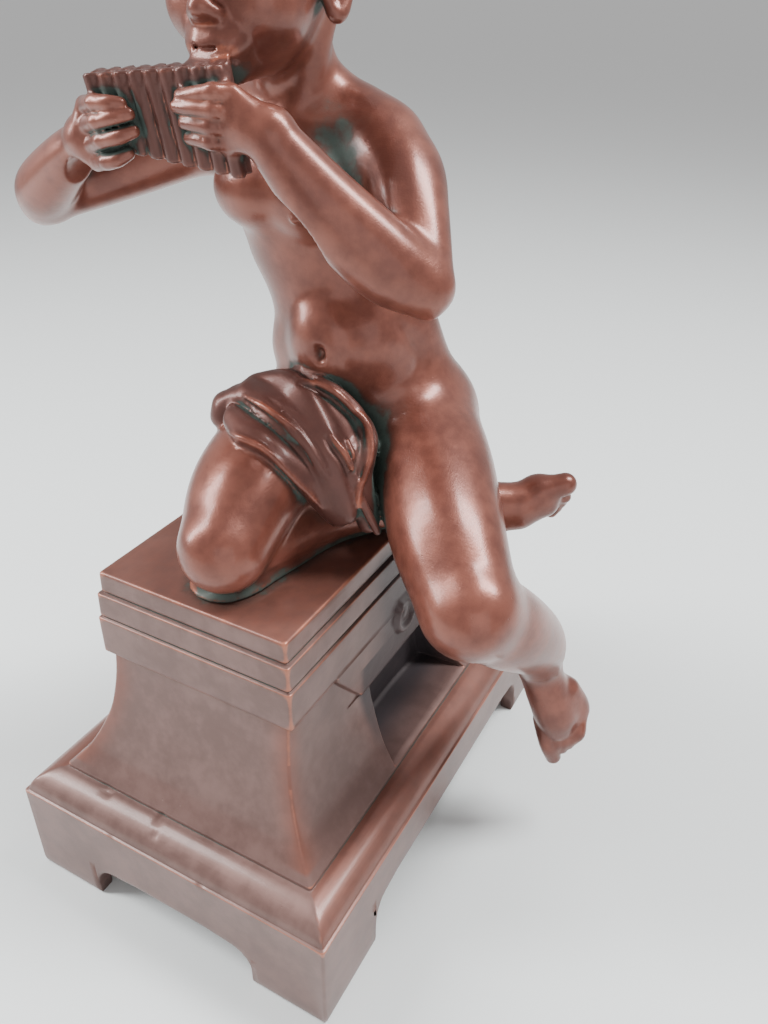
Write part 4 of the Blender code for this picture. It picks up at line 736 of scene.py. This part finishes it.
FURROWS = [
    (0.6, [(-17.2, 1.6, 95.2), (-18.3, -1.5, 94.7), (-19.0, -4.3, 94.0), (-19.2, -6.8, 92.7),
           (-19.3, -8.7, 91.2), (-19.2, -10.7, 89.6), (-19.0, -12.5, 87.5)]),
    (0.6, [(-12.7, -6.6, 98.4), (-11.3, -9.0, 97.1), (-10.3, -10.9, 95.9), (-9.6, -13.0, 94.1),
           (-8.9, -14.5, 92.3), (-9.3, -15.9, 90.7), (-10.6, -17.2, 89.4), (-12.2, -18.0, 88.1),
           (-14.1, -18.3, 86.9), (-15.1, -18.1, 85.9)]),
    (0.5, [(-15.9, -13.5, 91.5), (-16.1, -14.7, 90.3), (-16.1, -16.1, 88.8), (-16.0, -17.1, 87.2),
           (-16.1, -17.9, 85.3), (-16.4, -18.6, 83.4)]),
    (0.35, [(-16.3, -2.6, 96.3), (-17.0, -5.8, 95.5), (-17.1, -8.5, 94.1), (-17.5, -11.2, 92.0),
            (-17.9, -13.6, 89.3), (-18.3, -15.4, 86.3)]),
]
# where dirt gathers, and at the chest beside the left arm also painted shade: middle and reach in
# millimetres, and how much
DIRT_AND_SHADE = [((-4.5, -10.5, 135.5), 7.5, 0.75), ((-6.0, -18.5, 91.5), 5.5, 0.5),
         ((-8.0, -14.0, 78.0), 5.0, 0.7), ((-27.0, -3.0, 140.0), 4.0, 0.6),
         ((-28.5, 12.0, 137.5), 4.0, 0.45), ((-18.0, -3.0, 145.5), 3.5, 0.5)]


def chase(clay):
    """Cuts the furrows and lays the ridges on the cloth."""
    for r, path in FURROWS:
        clay.limb(path, [r * 0.5] + [r] * (len(path) - 2) + [r * 0.4], k=0.5, cut=True)
    for r, path in RIDGES:
        clay.limb(path, [r * 0.5] + [r] * (len(path) - 2) + [r * 0.4], k=0.35)


def cast_figure():
    """Builds the boy's skin and marks its hollows, ridges, dull parts, dirty places and the painted shade
    at his chest. A hollow is where the clay, or the plinth's top, comes back near a point held off the
    surface."""
    clay = Clay((-45, -64, 11), (32, 47, 180), STEP)
    for part in (trunk, arms, legs):
        part(clay)
    clay.soften(SOFTENINGS)
    for part in (feet, small_forms, cloth, chase, pan_pipes, hands, head, hair):
        part(clay)
    clay.seat()
    verts, faces = thinned(*clay.skin(), FIGURE_TRIANGLES)
    slope = np.stack([clay.sample(verts + STEP * axis) - clay.sample(verts - STEP * axis)
                      for axis in np.eye(3)], 1)
    normal = slope / np.maximum(np.linalg.norm(slope, axis=1, keepdims=True), 1e-6)
    hollow = crest = 0
    for s, w in ((0.8, 0.3), (1.6, 0.35), (2.8, 0.35)):
        over = verts + normal * s
        seat = np.maximum(np.maximum(abs(over[:, 0]) - SEAT_HALF_LENGTH, abs(over[:, 1]) - SEAT_HALF_WIDTH),
                          over[:, 2] - PLINTH_HEIGHT)
        hollow = hollow + np.clip(1 - np.minimum(clay.sample(over), seat) / s, 0, 1) * w
    for s in (0.7, 1.4):
        crest = crest + np.clip(1 + clay.sample(verts - normal * s) / s, 0, 1) / 2
    worked = Clay((-33, -29, 68), (8, 24, 152), 0.5)
    for part in (cloth, pan_pipes):
        part(worked)
    dull = np.clip(1 - worked.sample(verts) / 0.4, 0, 1)
    # dirt in the dirty places, and painted shade at the chest beside the left arm
    near = sum(much * np.exp(-((verts - middle) ** 2).sum(1) / reach ** 2) for middle, reach, much in DIRT_AND_SHADE)
    near = near + 0.5 * np.exp(-((verts[:, 2] - 68) / 1.6) ** 2)
    face = (verts[:, 2] > 146) * (verts[:, 0] < -12)
    return clay, mesh_piece("boy_cloth_and_pipes", verts, faces, {
        "hollow": hollow * (1 - 0.6 * face), "crest": crest, "dull": dull, "near": near * (1 - face)})


class Value:
    """Wraps a socket so that shader maths can be written as an expression."""

    def __init__(self, tree, socket):
        self.tree, self.socket = tree, socket

    def maths(self, how, *others):
        return node(self.tree, "ShaderNodeMath", {"operation": how}, *others)

    def __add__(self, other):
        return self.maths("ADD", self, other)

    def __radd__(self, other):
        return self.maths("ADD", other, self)

    def __sub__(self, other):
        return self.maths("SUBTRACT", self, other)

    def __rsub__(self, other):
        return self.maths("SUBTRACT", other, self)

    def __mul__(self, other):
        return self.maths("MULTIPLY", self, other)

    def clamp(self):
        return node(self.tree, "ShaderNodeClamp", {}, self)

    def ramp(self, start, end):
        """0 below start, 1 above end, smooth between."""
        how = {"interpolation_type": "SMOOTHSTEP"}
        return node(self.tree, "ShaderNodeMapRange", how, self, start, end)


def node(tree, kind, settings, *values, out=0, **named):
    """Adds a node, makes its settings, then fills its inputs in order and by name."""
    n = tree.nodes.new(kind)
    for key, value in settings.items():
        setattr(n, key, value)
    for key, value in list(enumerate(values)) + list(named.items()):
        socket = n.inputs[key]
        if isinstance(value, Value):
            tree.links.new(value.socket, socket)
        elif value is not None:
            socket.default_value = value
    return Value(tree, n.outputs[out]) if n.outputs else n


def blend(tree, factor, a, b):
    """Mixes two colours."""
    n = tree.nodes.new("ShaderNodeMix")
    n.data_type = "RGBA"
    for socket, value in ((n.inputs[0], factor), (n.inputs[6], a), (n.inputs[7], b)):
        if isinstance(value, Value):
            tree.links.new(value.socket, socket)
        else:
            socket.default_value = (*value, 1)
    return Value(tree, n.outputs[2])


def bronze(name, dark, mid, bright, metal, rough, coat, marks):
    """Brown-red bronze: blotches of two browns, copper showing on ridges, grey-green dirt lying in creases,
    painted shade at the boy's chest and near-black painted shade in the plinth's bays and frieze; sparse
    pits, brushed streaks and a soft grain in the normal."""
    mat = bpy.data.materials.new(name)
    mat.use_nodes = True
    tree = mat.node_tree
    tree.nodes.clear()
    place = node(tree, "ShaderNodeTexCoord", {}, out=3)
    place = node(tree, "ShaderNodeMapping", {}, place, Scale=(1000, 1000, 1000))

    def noise(scale, detail=3.0, roughness=0.55, where=None):
        return node(tree, "ShaderNodeTexNoise", {}, None, None, scale, detail, roughness,
                    Vector=where or place)

    def along(spin, stretch):
        return node(tree, "ShaderNodeMapping", {}, place, Rotation=spin, Scale=stretch)

    hollow, crest, near, dull, warm, painted_shade = (
        node(tree, "ShaderNodeAttribute", {"attribute_name": mark}, out=2)
        for mark in ("hollow", "crest", "near", "dull", "warm", "painted_shade"))
    blotch, cloud, grain = noise(0.09), noise(0.38, 4.0), noise(2.2, 3.0)
    streak = noise(1.0, 3.0, 0.6, along((0.3, 0.2, 0.5), (0.25, 4.0, 4.0)))
    scrape = noise(1.0, 2.0, 0.5, along((0.9, -0.4, 0.2), (4.0, 0.25, 4.0)))
    # grey-green dirt in creases and dirty places, and painted shade at the chest beside the left arm
    dirt_and_shade = ((hollow + near * 0.68 + (cloud - 0.5) * 0.6).ramp(0.34, 0.85) * 0.95).clamp()
    worn = (crest + (cloud - 0.5) * 0.5 + (streak - 0.5) * 0.2).ramp(0.5, 1.0)
    colour = blend(tree, (blotch * 0.6 + cloud * 0.4).ramp(0.36, 0.64), dark, mid)
    colour = blend(tree, dull * 0.75, colour, (0.070, 0.032, 0.028))
    colour = blend(tree, warm * (cloud + 0.3), colour, (0.22, 0.062, 0.035))
    colour = blend(tree, worn * (0.7 - dull * 0.2), colour, bright)
    colour = blend(tree, dirt_and_shade, colour, (0.026, 0.030, 0.027))
    colour = blend(tree, (dirt_and_shade * (cloud + 0.35)).ramp(0.4, 0.85) * 0.5, colour, (0.075, 0.115, 0.10))
    # painted shade: the plinth's bays and frieze are darkened nearly to black, with less metal and coat
    colour = blend(tree, (painted_shade + (cloud - 0.5) * 0.2 * painted_shade).clamp() * 0.92, colour, (0.022, 0.022, 0.026))
    roughness = (rough + (cloud - 0.5) * 0.14 + (streak - 0.5) * 0.12 * marks + dirt_and_shade * 0.3
                 + dull * 0.08 - worn * 0.05).clamp()
    pits = node(tree, "ShaderNodeTexVoronoi", {}, Vector=place, Scale=0.42)
    pits = (1 - pits.ramp(0.03, 0.09)) * (blotch.ramp(0.45, 0.6))
    height = grain * 0.012 + (streak * 0.030 + scrape * 0.016) * marks + cloud * 0.05 - pits * 0.06
    normal = node(tree, "ShaderNodeBump", {}, Strength=0.6, Distance=MM, Height=height)
    shader = node(tree, "ShaderNodeBsdfPrincipled", {}, **{
        "Base Color": colour, "Metallic": (metal - (dirt_and_shade * 0.8 + painted_shade * 0.9) * metal).clamp(),
        "Roughness": roughness, "Normal": normal,
        "Coat Weight": (coat - (dirt_and_shade + dull * 0.4 + painted_shade * 0.8) * coat).clamp(), "Coat Roughness": 0.18,
        "Coat IOR": 1.4, "Specular IOR Level": 0.28, "Specular Tint": (0.93, 0.84, 0.82, 1)})
    node(tree, "ShaderNodeOutputMaterial", {}, shader)
    return mat


clay, figure = cast_figure()
plinth = cast_plinth(clay)
figure.data.materials.append(bronze(
    "figure_bronze", (0.130, 0.044, 0.032), (0.212, 0.074, 0.052), (0.42, 0.13, 0.075),
    metal=0.40, rough=0.33, coat=0.45, marks=1.2))
plinth.data.materials.append(bronze(
    "plinth_bronze", (0.128, 0.073, 0.063), (0.180, 0.106, 0.093), (0.45, 0.16, 0.095),
    metal=0.40, rough=0.46, coat=0.45, marks=0.7))
for piece, cad, slot in ((figure, "faun_figure", "figure_bronze"), (plinth, "plinth", "plinth_bronze")):
    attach(piece, "root")
    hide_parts(cad)
    print(piece.name, "triangles", sum(len(face.vertices) - 2 for face in piece.data.polygons))


# lights: name, place in millimetres from the plinth's middle, width and height in metres, watts
LIGHTS = [("tall_window", (-213, 369, 393), 0.11, 0.5, 5.0),
          ("roof_window", (150, -260, 530), 0.13, 0.3, 5.0),
          ("fill", (-420, -380, 160), 0.5, 0.5, 0.9)]
SENSOR, FOCAL_PIXELS, PICTURE_PIXELS = 36, 862, 1024


def studio():
    """A pale floor, two windows, a wide soft fill and the camera that took the picture."""
    bpy.ops.mesh.primitive_plane_add(size=40.0)
    floor = bpy.context.object
    floor.name = "floor"
    mat = bpy.data.materials.new("pale_floor")
    mat.use_nodes = True
    shader = mat.node_tree.nodes["Principled BSDF"]
    shader.inputs["Base Color"].default_value = (0.76, 0.80, 0.80, 1)
    shader.inputs["Roughness"].default_value = 0.6
    floor.data.materials.append(mat)
    world = bpy.data.worlds.new("studio")
    bpy.context.scene.world = world
    world.use_nodes = True
    sky = world.node_tree.nodes["Background"]
    sky.inputs["Color"].default_value = (0.94, 0.90, 0.90, 1)
    sky.inputs["Strength"].default_value = 0.66
    middle = CENTRE + np.array([0, -10, 95]) * MM
    for name, spot, wide, tall, power in LIGHTS:
        light = bpy.data.lights.new(name, "AREA")
        light.shape, light.size, light.size_y, light.energy = "RECTANGLE", wide, tall, power
        lamp = bpy.data.objects.new(name, light)
        lamp.location = CENTRE + np.array(spot) * MM
        lamp.rotation_euler = (Vector(middle) - lamp.location).to_track_quat("-Z", "Y").to_euler()
        bpy.context.scene.collection.objects.link(lamp)
    lens = bpy.data.cameras.new("camera")
    lens.lens, lens.sensor_width = FOCAL_PIXELS / PICTURE_PIXELS * SENSOR, SENSOR
    lens.clip_start = 0.01
    camera = bpy.data.objects.new("camera", lens)
    camera.matrix_world = Matrix((
        (0.4809, 0.4568, -0.7484, CENTRE[0] - 0.1226),
        (-0.8767, 0.2638, -0.4023, CENTRE[1] - 0.0819),
        (0.0137, 0.8496, 0.5273, CENTRE[2] + 0.1558), (0, 0, 0, 1)))
    bpy.context.scene.collection.objects.link(camera)
    bpy.context.scene.camera = camera


studio()
